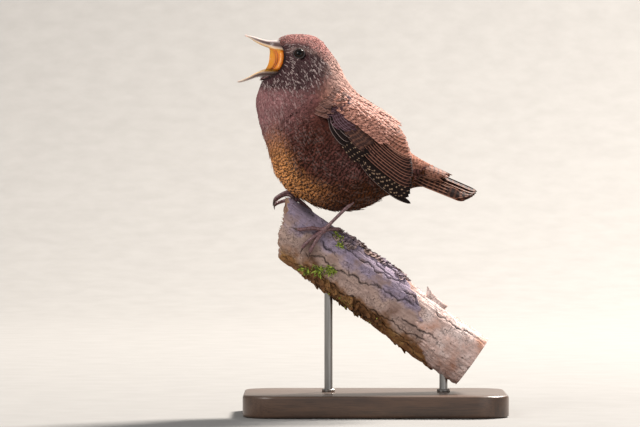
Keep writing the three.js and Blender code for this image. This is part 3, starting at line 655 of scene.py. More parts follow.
def bark_material():
    graph = Graph("bark_weathered", Roughness=0.85, Specular_IOR_Level=0.2)
    top, bare, crack = graph.split("bark")
    along = graph.place(rotation=(0, -BRANCH_SLOPE, 0))
    grain = graph.noise(graph.stretch(along, (60, 900, 900)), 1.0, detail=5.0)
    blotch = graph.noise(along, 130.0, detail=4.0)
    speck = graph.noise(along, 900.0, detail=2.0)
    tan = graph.ramp(blotch, (0.32, (92, 62, 40)), (0.52, (146, 102, 64)), (0.7, (176, 136, 84)))
    brown = graph.ramp(blotch, (0.3, (132, 106, 96)), (0.5, (174, 148, 138)), (0.72, (186, 158, 144)))
    # Painted sunlight: the lilac-grey of the bark on the branch's top, as it looks in the sun
    sunlit_lilac = graph.ramp(blotch, (0.3, (128, 112, 124)), (0.55, (156, 140, 158)), (0.75, (146, 124, 126)))
    wood = graph.ramp(blotch, (0.3, (176, 126, 102)), (0.5, (212, 182, 172)), (0.72, (226, 208, 202)))
    height = graph.plus(top, graph.times(graph.minus(blotch, 0.5), 1.6))
    colour = graph.mix(graph.step(height, -0.35, 0.1), tan, brown)
    # The top of the branch turns lilac-grey, as painted sunlight
    colour = graph.mix(graph.step(height, 0.45, 0.85), colour, sunlit_lilac)
    colour = graph.mix(bare, colour, wood)
    colour = graph.grained(0.55, colour, grain, 0.6, 1.2, (0.3, 0.68))
    colour = graph.mix(graph.times(graph.step(speck, 0.62, 0.7), 0.6), colour, tone(52, 40, 36))
    shift = graph.noise(along, 260.0, output="Color", rough=0.6)
    bent = graph.node("VectorMath", {0: along, 1: shift, 3: 0.004}, operation="MULTIPLY_ADD")
    inputs = {"Vector": graph.stretch(bent, (90, 330, 330)), "Scale": 1.0}
    gap = graph.node("TexVoronoi", inputs, feature="DISTANCE_TO_EDGE")
    fine = graph.times(graph.fall(gap, 0.005, 0.05), graph.step(blotch, 0.4, 0.6))
    colour = graph.mix(graph.times(fine, 0.5), colour, tone(64, 48, 44))
    # crack darkens the cracks and also the painted shadow beneath the foot
    colour = graph.mix(graph.times(crack, 0.92), colour, tone(26, 20, 20))
    graph.bump(graph.minus(graph.plus(grain, graph.times(speck, 0.6)), fine), 0.7, 0.0008)
    return graph.colour(colour).material


def moss_material():
    graph = Graph("moss_green", Roughness=0.7, Sheen_Weight=0.2)
    return graph.colour(graph.ramp(graph.attribute("seed"), (0.0, (86, 92, 26)), (0.6, (134, 150, 36)),
                                   (1.0, (176, 190, 70)))).material


def base_material():
    graph = Graph("stand_wood", Roughness=0.38, Coat_Weight=0.25, Coat_Roughness=0.25)
    rings = graph.noise(graph.place((14, 190, 60)), 1.0, detail=5.0, rough=0.6)
    pores = graph.noise(graph.place((120, 2400, 2400)), 1.0, detail=2.0)
    colour = graph.ramp(rings, (0.3, (48, 34, 26)), (0.5, (84, 60, 44)), (0.7, (58, 40, 30)))
    graph.bump(pores, 0.15, 0.0001)
    return graph.colour(graph.grained(0.5, colour, pores, 0.45, 1.0, (0.35, 0.5))).material


def rod_material():
    graph, brushed, colour = speckled("stand_steel", 1.0, (138, 136, 132), (176, 173, 168), (900, 900, 40),
                                      Metallic=1.0, Roughness=0.34, Anisotropic=0.4)
    graph.bump(brushed, 0.1, 0.00005)
    return graph.colour(colour).material


# Skin and coat

def make_skin():
    t, turn = grid(np.linspace(0, LAST_RUNG, SKIN_RINGS), whole_turn(SKIN_SIDES))
    place, _, normal, _ = body_frame(t, turn)
    colour, _, _ = markings(t, turn, place)
    rings = hollow(place - normal * coat_depth(t)[..., None], MOUTH_RADIUS)
    shape = Shape()
    shape.loft(rings, coat=colour * 0.75)
    dress(shape.build("skin"), skin_material(), ("head", "neck", "torso"))


FEATHER_ROWS = np.array([0, 0.35, 0.62, 0.84, 1.0])
FEATHER_WIDTHS = np.array([0.35, 0.9, 1.0, 0.86, 0.5])
FEATHER_COLUMNS = np.linspace(-1, 1, 5)
LENGTH_RUNGS = [0, 1.2, 2.5, 4, 5.5, 8, 12, 14, 15]
LENGTHS = [1.0, 1.2, 1.9, 2.6, 4.0, 6.0, 7.0, 7.2, 5.5]
FEATHER_THICKNESS = 0.12
EYE_SHORTENING = 0.55
PATCH_REACH = 0.0015


def feather_size(t):
    """Length and width of the body's feathers, smallest on the face."""
    length = np.interp(t, LENGTH_RUNGS, LENGTHS) * MM
    return length, length * np.interp(t, [0, 3, 6, 10], [0.5, 0.52, 0.5, 0.46])


def sown(t_from, t_to, row_share, column_share, jitter=0.25):
    """Roots of feathers, row by row and staggered, as closely set as their size asks for."""
    roots = []
    t = t_from
    odd = 0
    while t < t_to:
        length, width = feather_size(t)
        _, reach, half, _ = rung_at(np.array([t]))
        tall = np.linalg.norm(reach[0])
        girth = np.pi * (3 * (half[0] + tall) - math.sqrt((3 * half[0] + tall) * (half[0] + 3 * tall)))
        count = max(12, int(girth / (column_share * width)))
        turn = 2 * np.pi * (np.arange(count) + 0.5 * odd) / count - np.pi
        roots.append(stack(np.full(count, t), turn))
        s = np.interp(t, BODY_T, BODY_S) + row_share * length
        t = np.interp(s, BODY_S, BODY_T) if s < BODY_S[-1] else t_to
        odd = 1 - odd
    roots = np.concatenate(roots)
    length, width = feather_size(roots[:, 0])
    spread = rng.normal(0, jitter, (len(roots), 2))
    speed = body_frame(roots[:, 0], roots[:, 1])[3]
    roots[:, 0] += spread[:, 0] * row_share * length / np.maximum(speed, 1e-6)
    roots[:, 1] += spread[:, 1] * column_share * width / (12 * MM)
    return roots[roots[:, 0] < t_to]


def eye_surface(side):
    """Where the eye is on the body, by steps towards its place in the side view, and the normal there."""
    t, turn = 3.5, 1.0
    step = 0.01
    for _ in range(40):
        here = body_place(np.array([t, t + step, t]), np.array([turn, turn, turn + step]))[:, [0, 2]]
        change = stack((here[1] - here[0]) / step, (here[2] - here[0]) / step)
        t, turn = np.array([t, turn]) + 0.7 * np.linalg.solve(change, EYE_PLACE - here[0])
    place, _, normal, _ = body_frame(np.array([t]), np.array([-side * turn]))
    return place[0], normal[0]


def clear_of_face(t, turn, length, speed, place):
    """Lengths, shortened beside the eyes, and which feathers stay clear of the eyes and the open mouth."""
    from_mouth = np.hypot(place[:, 0] - MOUTH_CENTRE[0], place[:, 2] - MOUTH_CENTRE[2])
    keep = from_mouth >= MOUTH_RADIUS + 0.1 * MM
    for side in SIDES.values():
        eye, _ = eye_surface(side)
        for _ in range(2):
            tip, _, _, _ = body_frame(t + length / speed, turn)
            length = np.where(distance(tip, eye) < EYE_CLEARANCE, length * EYE_SHORTENING, length)
        tip, _, _, _ = body_frame(t + length / speed, turn)
        keep &= np.minimum(distance(tip, eye), distance(place, eye)) >= EYE_CLEARANCE
    return length, keep


def contour_feathers(name, roots, lift, seed_shift, longer=1.0, narrower=1.0):
    """A piece of the coat: feathers that rise from the skin and lie back over the next rows."""
    t, turn = roots[:, 0], roots[:, 1]
    length, width = feather_size(t)
    length = longer * length * rng.uniform(0.85, 1.15, len(t))
    width = width * narrower
    place, _, _, speed = body_frame(t, turn)
    length, keep = clear_of_face(t, turn, length, speed, place)
    t, turn, length, width, speed, place = (v[keep] for v in (t, turn, length, width, speed, place))
    count, rows, columns = len(t), len(FEATHER_ROWS), len(FEATHER_COLUMNS)

    veer = rng.normal(0, 0.14, count) + 0.45 * rough_noise(place / (5 * MM), 61, 2)
    rise = np.clip(rng.uniform(0.0, 1.0, count) + 0.5 * rough_noise(place / (3 * MM), 71, 2), -0.1, 1.4)
    tip_cut = rng.uniform(-0.12, 0.1, (count, columns))
    tip_cut[:, 1::2] -= 0.08
    v = np.tile(FEATHER_ROWS[:, None], (count, 1, columns))
    v[:, -1] += tip_cut
    v[:, -2] += 0.35 * tip_cut
    across_share = np.broadcast_to(FEATHER_COLUMNS, v.shape)
    t_row = each(t) + each(length) * v / each(speed)
    spine, forward, normal, _ = body_frame(t_row, np.broadcast_to(each(turn), v.shape))
    across = np.cross(forward, normal)
    offset = across_share * each(0.5 * width) * FEATHER_WIDTHS[None, :, None]
    offset = offset + each(length) * each(veer) * v * 0.6
    cup = -0.16 * each(width) * across_share ** 2 * (0.4 + v)
    sunk = each(coat_depth(t)) * (1 - smooth(v, 0, 0.75)) * 0.92
    height = -sunk - 0.12 * MM + lift * each(rise) * v ** 2 + cup
    # The forehead's feathers lie over the root of the bill
    over_bill = (1 - smooth(t, 1.3, 2.6)) * smooth(np.cos(turn), 0.3, 0.8)
    height = height + 0.55 * MM * each(over_bill) * smooth(v, 0.1, 0.5)
    top = hollow(spine + across * offset[..., None] + normal * height[..., None], MOUTH_RADIUS - 0.1 * MM)
    points, quads = vane_surface(top, FEATHER_THICKNESS * width.mean(), normal)

    colour, bars, pale = markings(t, turn, place)
    patchy = 1 + 0.18 * rough_noise(place / (3.5 * MM), 81, 2)
    colour = colour * rng.uniform(0.8, 1.2, (count, 1)) * patchy[:, None]
    pale = pale * np.where(rng.uniform(0, 1, count) < 0.36, 1.0, 0.12)
    seed = rng.uniform(0, 5, count) + seed_shift
    size = 2 * rows * columns
    patch = each(unwrapped(t, turn)) + PATCH_REACH * stack(across_share, 2 * v - 1)
    shape = Shape()
    shape.add(
        points, quads, coat=per_vane(colour, size),
        trait=per_vane(stack(bars, pale, seed), size),
        vane=both_faces(stack(across_share, v, v * each(length / MM))),
        **{BAKE_MAP: both_faces(patch)},
    )
    return shape.build(name)


# Each piece of the coat: where it starts and ends along the body, how far apart its rows and the feathers of
# a row are, as shares of their length and width, how far the tips stand out, and its region
COAT = {
    "coat_face": (0.4, 2.6, 0.24, 0.5, 0.1 * MM, "head"),
    "coat_head": (2.6, 3.9, 0.2, 0.42, 0.22 * MM, "head"),
    "coat_nape": (3.9, 5.2, 0.2, 0.42, 0.22 * MM, "head"),
    "coat_breast": (5.2, 8.6, 0.19, 0.42, 0.42 * MM, "body"),
    "coat_belly": (8.6, 12.0, 0.19, 0.42, 0.5 * MM, "body"),
    "coat_rump": (12.0, 15.0, 0.15, 0.4, 0.4 * MM, "body"),
}

# Loose narrow feathers over the others, which soften the outline: the same values, then their seed, their
# width as a share, and how far up the body's side they go, as the cosine of a turn
WISPS = {
    "wisps_head": (2.4, 6.0, 0.45, 0.8, 0.4 * MM, "head", 61, 0.35, 1.0),
    "wisps_body": (6.0, 13.5, 0.4, 0.75, 1.0 * MM, "body", 71, 0.3, 0.2),
}
WISP_JITTER = 1.5
WISP_LENGTH = 1.1


def make_coat():
    materials = {
        "body": coat_material("coat_feathers", 1.25),
        "head": coat_material("coat_feathers_small", 0.9),
    }
    for i, (name, (start, end, row, column, lift, region)) in enumerate(COAT.items()):
        piece = contour_feathers(name, sown(start, end, row, column), lift, 11 * i)
        dress(piece, materials[region])
    for name, (start, end, row, column, lift, region, seed, narrower, highest) in WISPS.items():
        roots = sown(start, end, row, column, WISP_JITTER)
        roots = roots[np.cos(roots[:, 1]) <= highest]
        piece = contour_feathers(name, roots, lift, seed, WISP_LENGTH, narrower)
        dress(piece, materials[region])


# The chin's roots from its back edge to its front one, and its feathers' droop in degrees and length
CHIN_COUNT = 90
CHIN_X = (-36.4, -39.2)
CHIN_HALF_WIDTH = 2.6
CHIN_Z = (123.4, 121.4)
CHIN_DROOP = (4, 38)
CHIN_LENGTH = (2.0, 3.2)
CHIN_HALF_VANE = 0.42 * MM


def make_chin():
    """Short feathers that lie forward from the throat, under the root of the lower bill."""
    f = rng.uniform(0, 1, CHIN_COUNT)
    y = rng.uniform(-1, 1, CHIN_COUNT)
    z = mix(*CHIN_Z, rng.uniform(0, 1, CHIN_COUNT))
    root = stack(mix(*CHIN_X, f), CHIN_HALF_WIDTH * y * mix(1.0, 0.75, f), z) * MM
    droop = np.radians(rng.uniform(*CHIN_DROOP, CHIN_COUNT))
    direction = unit(stack(-np.cos(droop), 0.2 * y, -np.sin(droop)))
    length = rng.uniform(*CHIN_LENGTH, CHIN_COUNT) * MM
    points, quads = free_vanes(root, direction, length, CHIN_HALF_VANE, 1.2 * y, 0.25 * MM, blunt=0.6)
    seed = rng.uniform(0, 5, CHIN_COUNT)
    colour = THROAT * rng.uniform(0.35, 0.7, (CHIN_COUNT, 1))
    pale = np.where(rng.uniform(0, 1, CHIN_COUNT) < 0.3, 0.8, 0.1)
    shape = Shape()
    shape.add(
        points, quads, coat=per_vane(colour, QUILL_POINTS),
        trait=per_vane(stack(0 * seed, pale, seed), QUILL_POINTS), **quill_values(length, seed),
    )
    dress(build_quills(shape, "chin_feathers"), coat_material("chin_feathers", 0.9))


# Wings

def wing_growth(t):
    far = smooth(t, WING_GROWTH["from"], WING_GROWTH["to"])
    return tuple(WING_CLEARANCE + far * WING_GROWTH[key] for key in ("back", "belly", "half"))


def wing_half(x, z):
    """Half the width of the wing's carrier at places in the side view, as in the part."""
    here = stack(x, z)
    low = np.full(x.shape, 1.0)
    high = np.full(x.shape, float(LAST_RUNG))

    def side_of(t):
        middle, reach, _, _ = rung_at(t, *wing_growth(t))
        away = here - middle
        return np.sign(reach[..., 0] * away[..., 1] - reach[..., 1] * away[..., 0])

    first = side_of(low)
    for _ in range(24):
        t = (low + high) / 2
        same = side_of(t) == first
        low = np.where(same, t, low)
        high = np.where(same, high, t)
    middle, reach, half, skew = rung_at(low, *wing_growth(low))
    u = np.sum((here - middle) * reach, axis=-1) / np.sum(reach * reach, axis=-1)
    return half * np.sqrt(np.maximum(1 - u * u, 0)) * (1 + skew * u)


def wing_normal(x, z, side):
    step = 0.25 * MM
    slope_x = (wing_half(x + step, z) - wing_half(x - step, z)) / (2 * step)
    slope_z = (wing_half(x, z + step) - wing_half(x, z - step)) / (2 * step)
    return unit(stack(-slope_x, np.full(x.shape, float(side)), -slope_z))


def wing_place(x, z, side, lift):
    normal = wing_normal(x, z, side)
    return stack(x, side * wing_half(x, z), z) + normal * lift[..., None], normal


def curve_through(points, f):
    """Points of a line or a quadratic curve."""
    points = np.array(points) * MM
    f = np.asarray(f)[:, None]
    if len(points) == 2:
        return points[0] * (1 - f) + points[1] * f
    return points[0] * (1 - f) ** 2 + 2 * points[1] * f * (1 - f) + points[2] * f ** 2


QUILL_ROWS = np.concatenate([np.linspace(0, 0.8, 11), np.linspace(0.84, 1, 7)])
QUILL_COLUMNS = np.array([-1, -0.8, -0.5, -0.16, 0, 0.16, 0.5, 0.8, 1])
QUILL_POINTS = 2 * len(QUILL_ROWS) * len(QUILL_COLUMNS)
QUILL_THICKNESS = 0.2 * MM
CELLS_ACROSS = 8


def quill_width(v, blunt):
    """A feather's half width along it, as a share of its widest, tapered at the root and round at the tip."""
    root = mix(0.5, 1.0, smooth(v, 0, 0.35))
    end = np.clip((1 - v) / blunt, 0, 1)
    return root * np.sqrt(np.maximum(1 - (1 - end) ** 2, 0.004))


def quill_values(length, seed):
    """What the material reads on a batch of long feathers."""
    v, c = grid(QUILL_ROWS, QUILL_COLUMNS)
    shape = (len(length),) + v.shape
    vane = stack(np.broadcast_to(c, shape), np.broadcast_to(v, shape), v * each(length / MM))
    return {"vane": both_faces(vane), "seed": per_vane(seed, QUILL_POINTS)}


def build_quills(shape, name):
    """The object of long feathers, each with a cell of its own on the piece's map."""
    count = shape.count // QUILL_POINTS
    cell = np.repeat(np.arange(count), QUILL_POINTS)
    across, along, _ = np.concatenate(shape.values["vane"]).T
    shape.values[BAKE_MAP] = [stack(
        (cell % CELLS_ACROSS + 0.1 + 0.8 * along) / CELLS_ACROSS,
        (cell // CELLS_ACROSS + 0.1 + 0.4 * (across + 1)) / math.ceil(count / CELLS_ACROSS),
    )]
    return shape.build(name)


def wing_vanes(side, count, roots, tips, half, lifts, bow, tilt, blunt=0.22, uneven=0.35, sunk_above=0.0):
    """A tier of feathers on the wing's carrier. Each one's lower edge lies over the next feather's.

    roots and tips are the lines along which they start and end, half is their half width, lifts is how high
    they lie at the root and the tip, bow their bend and tilt the rise of their upper edge, in millimetres.
    """
    f = np.linspace(0, 1, count)
    root, tip = curve_through(roots, f), curve_through(tips, f)
    spread = rng.uniform(-1, 1, (count, 3))
    way = unit(tip - root)
    root = root + way * (0.5 * uneven * MM * spread[:, 1:2])
    tip = tip + (way * spread[:, :1] + 0.45 * way[:, ::-1] * [1, -1] * spread[:, 2:]) * uneven * MM
    way = tip - root
    length = np.linalg.norm(way, axis=-1)
    down = stack(way[:, 1], -way[:, 0]) / length[:, None]
    down = np.where(down[:, 1:] > 0, -down, down)
    v, c = QUILL_ROWS[None], QUILL_COLUMNS[None, None]
    bend = down[:, None] * (bow * MM * 4 * v * (1 - v))[..., None]
    spine = root[:, None] + way[:, None] * v[..., None] + bend
    normal = wing_normal(spine[..., 0], spine[..., 1], side)
    tangent = unit(stack(way[:, 0], np.zeros(count), way[:, 1]))[:, None]
    across = unit(np.cross(normal, tangent + 0 * normal))
    across = np.where(across[..., 2:] > 0, -across, across)
    wide = mix(half[0], half[1], f) * MM * (1 + 0.05 * spread[:, 1])
    shift = across[:, :, None] * (each(wide) * quill_width(v, blunt)[..., None] * c)[..., None]
    crown = 0.10 * (1 - np.abs(c)) + 0.10 * np.exp(-(c / 0.1) ** 2) * (1 - v[..., None])
    lift = mix(lifts[0], lifts[1], v)[..., None] + c * tilt + crown + 0.4
    lift = lift - each(sunk_above * (1 - smooth(f, 0, 0.5))) + 0.06 * each(spread[:, 2])
    x, z = spine[..., None, 0] + shift[..., 0], spine[..., None, 1] + shift[..., 2]
    place, outward = wing_place(x, z, side, lift * MM)
    points, quads = vane_surface(place, QUILL_THICKNESS, outward)
    return points, quads, quill_values(length, rng.uniform(0, 9, count))


# The long feathers' looks: the colours of the vane, the bars and the fringe, how far apart the bars are and
# how far they reach in, where in each wave they start, and how strong the bars and the fringe are
DARK_QUILL = (38, 21, 18)
BLACKISH = (24, 14, 12)
PALE_SPOT = (206, 172, 142)
QUILL_LOOKS = {
    "flight_feathers": (BLACKISH, PALE_SPOT, (56, 36, 30), 2.1, 0.42, 0.5, 0.8, 0.45),
    "inner_feathers": (DARK_QUILL, (100, 60, 48), (176, 122, 102), 1.9, 1.8, 0.3, 0.4, 0.7),
    "tertial_feathers": ((150, 98, 80), DARK_QUILL, (204, 156, 136), 1.4, 2.0, 0.2, 0.75, 0.6),
    "covert_feathers": ((62, 42, 38), (132, 90, 72), (126, 94, 82), 1.8, 1.7, 0.2, 0.5, 0.45),
    # The lesser coverts are mauve-brown and barred; the bluish-lilac of their bars and fringe is painted
    # highlight
    "lesser_covert_feathers": ((66, 40, 44), (112, 84, 94), (158, 134, 142), 1.4, 1.7, 0.3, 0.6, 0.55),
    "alula_feathers": (BLACKISH, DARK_QUILL, (160, 140, 134), 2.0, 1.0, 0.3, 0.5, 0.8),
    "scapular_feathers": ((190, 134, 116), (74, 42, 36), (206, 158, 142), 1.5, 2.0, 0.0, 0.9, 0.4),
    "shoulder_feathers": ((112, 78, 68), (62, 40, 36), (160, 128, 122), 1.3, 2.0, 0.1, 0.8, 0.55),
    "tail_feathers": ((38, 22, 18), (116, 72, 54), (190, 134, 108), 2.1, 2.0, 0.2, 0.6, 0.6),
    "tail_covert_feathers": ((142, 94, 76), DARK_QUILL, (182, 136, 116), 1.7, 2.0, 0.1, 0.8, 0.45),
}
QUILLS = {name: quill_material(name, *look) for name, look in QUILL_LOOKS.items()}

# The wing's tiers in the order they are laid, each with its look
WING_TIERS = {
    "primaries": ("flight_feathers", dict(
        count=11, roots=[(-8.5, 98.5), (-6.5, 95)], tips=[(3.2, 83.6), (14, 74.6), (12.6, 85.5)],
        half=(1.3, 1.8), lifts=(0.3, 0.5), bow=0.9, tilt=0.22)),
    "secondaries": ("inner_feathers", dict(
        count=10, roots=[(-8.4, 100.8), (-2, 106.5)], tips=[(12, 83.4), (14.2, 88.3), (12.4, 93)],
        half=(1.6, 2.0), lifts=(0.75, 0.8), bow=1.1, tilt=0.24)),
    "tertials": ("tertial_feathers", dict(
        count=6, roots=[(-4.5, 107), (-0.5, 110)], tips=[(12.2, 92.8), (10.3, 99.8)],
        half=(1.7, 2.0), lifts=(1.1, 1.1), bow=0.8, tilt=0.25, blunt=0.3, uneven=0.6)),
    "primary_coverts": ("flight_feathers", dict(
        count=6, roots=[(-14.5, 103), (-11.5, 104.5)], tips=[(-6.6, 91.8), (-2.4, 95)],
        half=(1.1, 1.3), lifts=(1.1, 1.0), bow=0.5, tilt=0.2)),
    "alula": ("alula_feathers", dict(
        count=3, roots=[(-17, 107), (-15.6, 108.6)], tips=[(-10.9, 97.4), (-8.4, 100.2)],
        half=(1.0, 1.2), lifts=(1.5, 1.45), bow=0.9, tilt=0.2)),
    "greater_coverts": ("covert_feathers", dict(
        count=12, roots=[(-12.5, 105), (-5.5, 110)], tips=[(-4.8, 95.6), (3.6, 102.2)],
        half=(1.1, 1.3), lifts=(1.5, 1.35), bow=0.4, tilt=0.22, blunt=0.4, uneven=0.7)),
    "median_coverts": ("lesser_covert_feathers", dict(
        count=10, roots=[(-16, 108.6), (-10.5, 111.6)], tips=[(-10.2, 101.8), (-3.4, 106.4)],
        half=(1.1, 1.3), lifts=(1.9, 1.8), bow=0.3, tilt=0.2, blunt=0.5, uneven=0.8)),
    "lesser_coverts": ("lesser_covert_feathers", dict(
        count=9, roots=[(-18.6, 110.6), (-12, 113.6)], tips=[(-13.4, 103.6), (-6.6, 109.8)],
        half=(1.1, 1.3), lifts=(0.6, 1.9), bow=0.2, tilt=0.15, blunt=0.55, uneven=0.9)),
    "marginal_coverts": ("lesser_covert_feathers", dict(
        count=11, roots=[(-19.8, 112.6), (-13, 115)], tips=[(-16, 106.4), (-8.8, 112)],
        half=(1.0, 1.2), lifts=(-1.9, 1.9), bow=0.1, tilt=0.1, blunt=0.6, uneven=0.9)),
    "leading_primary": ("alula_feathers", dict(
        count=1, roots=[(-7.5, 95), (-7.5, 95)], tips=[(12.4, 77.6), (12.4, 77.6)],
        half=(1.1, 1.1), lifts=(0.1, 0.2), bow=2.0, tilt=0.2)),
    # Body feathers that hang over the wing's front and upper edges
    "shoulder_rear": ("lesser_covert_feathers", dict(
        count=12, roots=[(-21, 112), (-15.6, 118.8)], tips=[(-16, 107.6), (-9.6, 112.8)],
        half=(1.1, 1.4), lifts=(-2.2, 2.4), bow=0.1, tilt=0.05, blunt=0.6, uneven=1.3)),
    "shoulder_front": ("shoulder_feathers", dict(
        count=14, roots=[(-23.4, 112), (-16, 120.6)], tips=[(-18.2, 107.4), (-11.6, 114.4)],
        half=(1.1, 1.4), lifts=(-2.8, 2.4), bow=0.1, tilt=0.05, blunt=0.6, uneven=1.3)),
}
SCAPULAR_ROWS = 8


def scapular_tiers():
    """Rows of the back's feathers that hang over the wing's upper edge, from the shoulder to the tail."""
    for row in range(SCAPULAR_ROWS):
        share = row / (SCAPULAR_ROWS - 1)
        upper = mix(np.array([-14.6, 119.9]), np.array([1.4, 111.2]), share)
        lower = mix(np.array([-18.6, 114.4]), np.array([-3.6, 103.6]), share)
        reach = np.array([5.4, -5.2]) * mix(1.0, 1.2, share)
        yield "scapular_feathers", dict(
            count=13, roots=[upper, lower], tips=[upper + reach, lower + reach * [0.95, 1.05]],
            half=(0.8, 1.0), lifts=(-1.4 if row == 0 else 1.2, 2.5), bow=0.2, tilt=0.08, blunt=0.6,
            uneven=1.1, sunk_above=0.9)


def make_wings():
    for word, side in SIDES.items():
        shapes = {}
        for look, tier in [*WING_TIERS.values(), *scapular_tiers()]:
            points, quads, values = wing_vanes(side, **tier)
            if side == RIGHT:
                quads = quads[:, ::-1]
            shapes.setdefault(look, Shape()).add(points, quads, **values)
        for look, shape in shapes.items():
            dress(build_quills(shape, f"{look}_{word}"), QUILLS[look], (f"wing_{word}",))


# Tail

TAIL_ROOT = np.array([12.6, 0, 91.4]) * MM
TAIL_PAIRS = 6
TAIL_SLOPE = -22.0
TAIL_LENGTH = 26.4 * MM
TAIL_SHORTENING = {LEFT: 0.2 * MM, RIGHT: 0.09 * MM}


def free_vanes(root, direction, length, half, roll, droop, blunt=0.2):
    """Feathers that lie free of any carrier, turned by roll about their own length."""
    level = unit(np.array([0, 1.0, 0]) - direction * direction[:, 1:2])
    across = towards(level, np.cross(direction, level), roll)
    normal = unit(np.cross(direction, across))
    normal = np.where(normal[:, 2:] < 0, -normal, normal)
    v, c = grid(QUILL_ROWS, QUILL_COLUMNS)
    reach = half * quill_width(v, blunt) * c
    lift = 0.10 * MM * (1 - np.abs(c)) + 0.12 * MM * np.exp(-(c / 0.1) ** 2) * (1 - v) + 0.25 * MM
    top = (
        each(root) + each(direction) * (each(length) * v)[..., None]
        + each(across) * reach[..., None] + each(normal) * (lift - droop * v * v)[..., None]
    )
    return vane_surface(top, QUILL_THICKNESS, each(normal) + 0 * top)


# The tail's coverts, above and below: height of the first roots, slope, length and the way they turn outwards
TAIL_COVERTS = ((93.4, -0.42, 13.0, 1), (84.4, -0.2, 12.0, -1))
COVERT_ROWS = 5
COVERT_COUNT = 8
COVERT_START = 13.0
COVERT_STEP = 1.3


def tail_covert_row(row, height, slope, length, way):
    """Roots, directions and lengths of one row of the tail's coverts."""
    f = np.linspace(-0.9, 0.9, COVERT_COUNT) + rng.uniform(-0.1, 0.1, COVERT_COUNT)
    root = stack(
        COVERT_START + COVERT_STEP * row + rng.uniform(-0.6, 0.6, COVERT_COUNT), 3.6 * f,
        height + slope * COVERT_STEP * row - way * 2.6 * f ** 2 - way * 0.15 * row,
    ) * MM
    angle = slope + 0.05 * way * np.abs(f)
    direction = unit(stack(np.cos(angle), 0.05 * f, np.sin(angle)))
    lengths = (length + 2 - 1.4 * row - 3 * f ** 2 + rng.uniform(-1.2, 1.2, COVERT_COUNT)) * MM
    return root, direction, lengths, -way * f


def make_tail():
    feathers, coverts = Shape(), Shape()
    i = np.arange(TAIL_PAIRS)
    for side in SIDES.values():
        fan = side * np.radians(1.5 + 2.3 * i)
        slope = np.radians(TAIL_SLOPE + 0.3 * i)
        direction = unit(stack(np.cos(slope) * np.cos(fan), np.sin(fan), np.sin(slope)))
        root = TAIL_ROOT + stack(-0.2 * i, side * (1 + 0.35 * i), -0.85 * i) * MM
        roll = -side * np.radians(14 + 8.0 * i)
        length = TAIL_LENGTH - TAIL_SHORTENING[side] * i ** 2 + 0.3 * side * MM
        points, quads = free_vanes(root, direction, length, 2.4 * MM, roll, 0.5 * MM, blunt=0.13)
        feathers.add(points, quads, **quill_values(length, rng.uniform(0, 9, TAIL_PAIRS)))
    for covert in TAIL_COVERTS:
        for row in range(COVERT_ROWS):
            root, direction, length, roll = tail_covert_row(row, *covert)
            points, quads = free_vanes(root, direction, length, 1.2 * MM, roll, 0.0, blunt=0.5)
            coverts.add(points, quads, **quill_values(length, rng.uniform(0, 9, COVERT_COUNT)))
    for name, shape in (("tail_feathers", feathers), ("tail_covert_feathers", coverts)):
        dress(build_quills(shape, name), QUILLS[name], ("tail",))


# Head: bill, mouth and eyes

# Stations of the bill: x, the height of its ridge, the height of its cutting edge, and its half width
UPPER_BILL = np.array([
    (-33, 136.2, 132.6, 3.1), (-36.3, 136.5, 133.2, 2.9), (-38.6, 136.4, 134.1, 2.3),
    (-41, 136.8, 134.9, 1.75), (-43.4, 137.5, 136.0, 1.2), (-45.8, 138.1, 137.4, 0.7),
    (-47.6, 138.4, 138.1, 0.28),
]) * MM
LOWER_BILL = np.array([
    (-34, 122.4, 124.8, 3), (-37, 122.6, 125.2, 2.8), (-40.2, 123, 125.2, 2.3), (-43, 122.9, 124.4, 1.7),
    (-46, 121.9, 122.9, 1.05), (-48.6, 121.1, 121.8, 0.6), (-50.2, 121, 121.4, 0.26),
]) * MM
BILL_STATIONS = 60
BILL_SIDES = 40
NOSTRIL = np.array([-38.4, 135.25]) * MM
NOSTRIL_REACH = np.array([0.85, 0.34]) * MM


def bill_rings(stations, flatness, nostrils):
    """Rings of half a bill: a keeled ridge, sides that draw in to the cutting edge, and a shallow inside."""
    t = np.linspace(0, len(stations) - 1, BILL_STATIONS)
    x, ridge, edge, half = through(stations, t).T
    angle = whole_turn(BILL_SIDES)
    u, side = np.cos(angle)[None], np.sin(angle)[None]
    keel = np.where(u > 0, np.abs(u) ** 1.15, np.abs(u))
    height = (ridge - edge)[:, None] * np.where(u > 0, keel, flatness * u)
    pinch = 1 - 0.12 * np.exp(-((u - 0.28) / 0.2) ** 2)
    y = half[:, None] * np.sign(side) * np.abs(side) ** 0.9 * pinch
    rings = stack(np.broadcast_to(x[:, None], y.shape), y, edge[:, None] + height)
    if nostrils:
        away = np.sum(((rings[..., [0, 2]] - NOSTRIL) / NOSTRIL_REACH) ** 2, axis=-1)
        rings[..., 1] *= 1 - 0.28 * np.exp(-away ** 2) * (u > 0)
    ridge_value = np.broadcast_to(np.maximum(u, 0), y.shape)
    along = np.broadcast_to((t / t[-1])[:, None], y.shape)
    return rings, ridge_value, along


def make_bill():
    material = bill_material()
    for name, stations, flatness, nostrils in (
        ("bill_upper", UPPER_BILL, 0.3, True), ("bill_lower", LOWER_BILL, 0.25, False),
    ):
        rings, ridge, along = bill_rings(stations, flatness, nostrils)
        shape = Shape()
        shape.loft(rings, ridge=ridge, along=along)
        dress(shape.build(name + "_horn"), material, (name,))


MOUTH_ROWS = 40
MOUTH_COLUMNS = 150
MOUTH_TURN = (-1.5, 1.3)
MOUTH_FREE_EDGE = (5.6 * MM, 2.5 * MM)
MOUTH_FACE = MOUTH_RADIUS - 0.15 * MM
MOUTH_WALL = 0.8 * MM
MOUTH_FOLD = 0.6 * MM
TONGUE = np.array([(-35.4, 125.7), (-37.5, 125.9), (-39.5, 125.8), (-41.2, 125.4), (-42.6, 124.9)]) * MM
TONGUE_HALF = np.array([1.0, 1.15, 0.95, 0.6, 0.15])


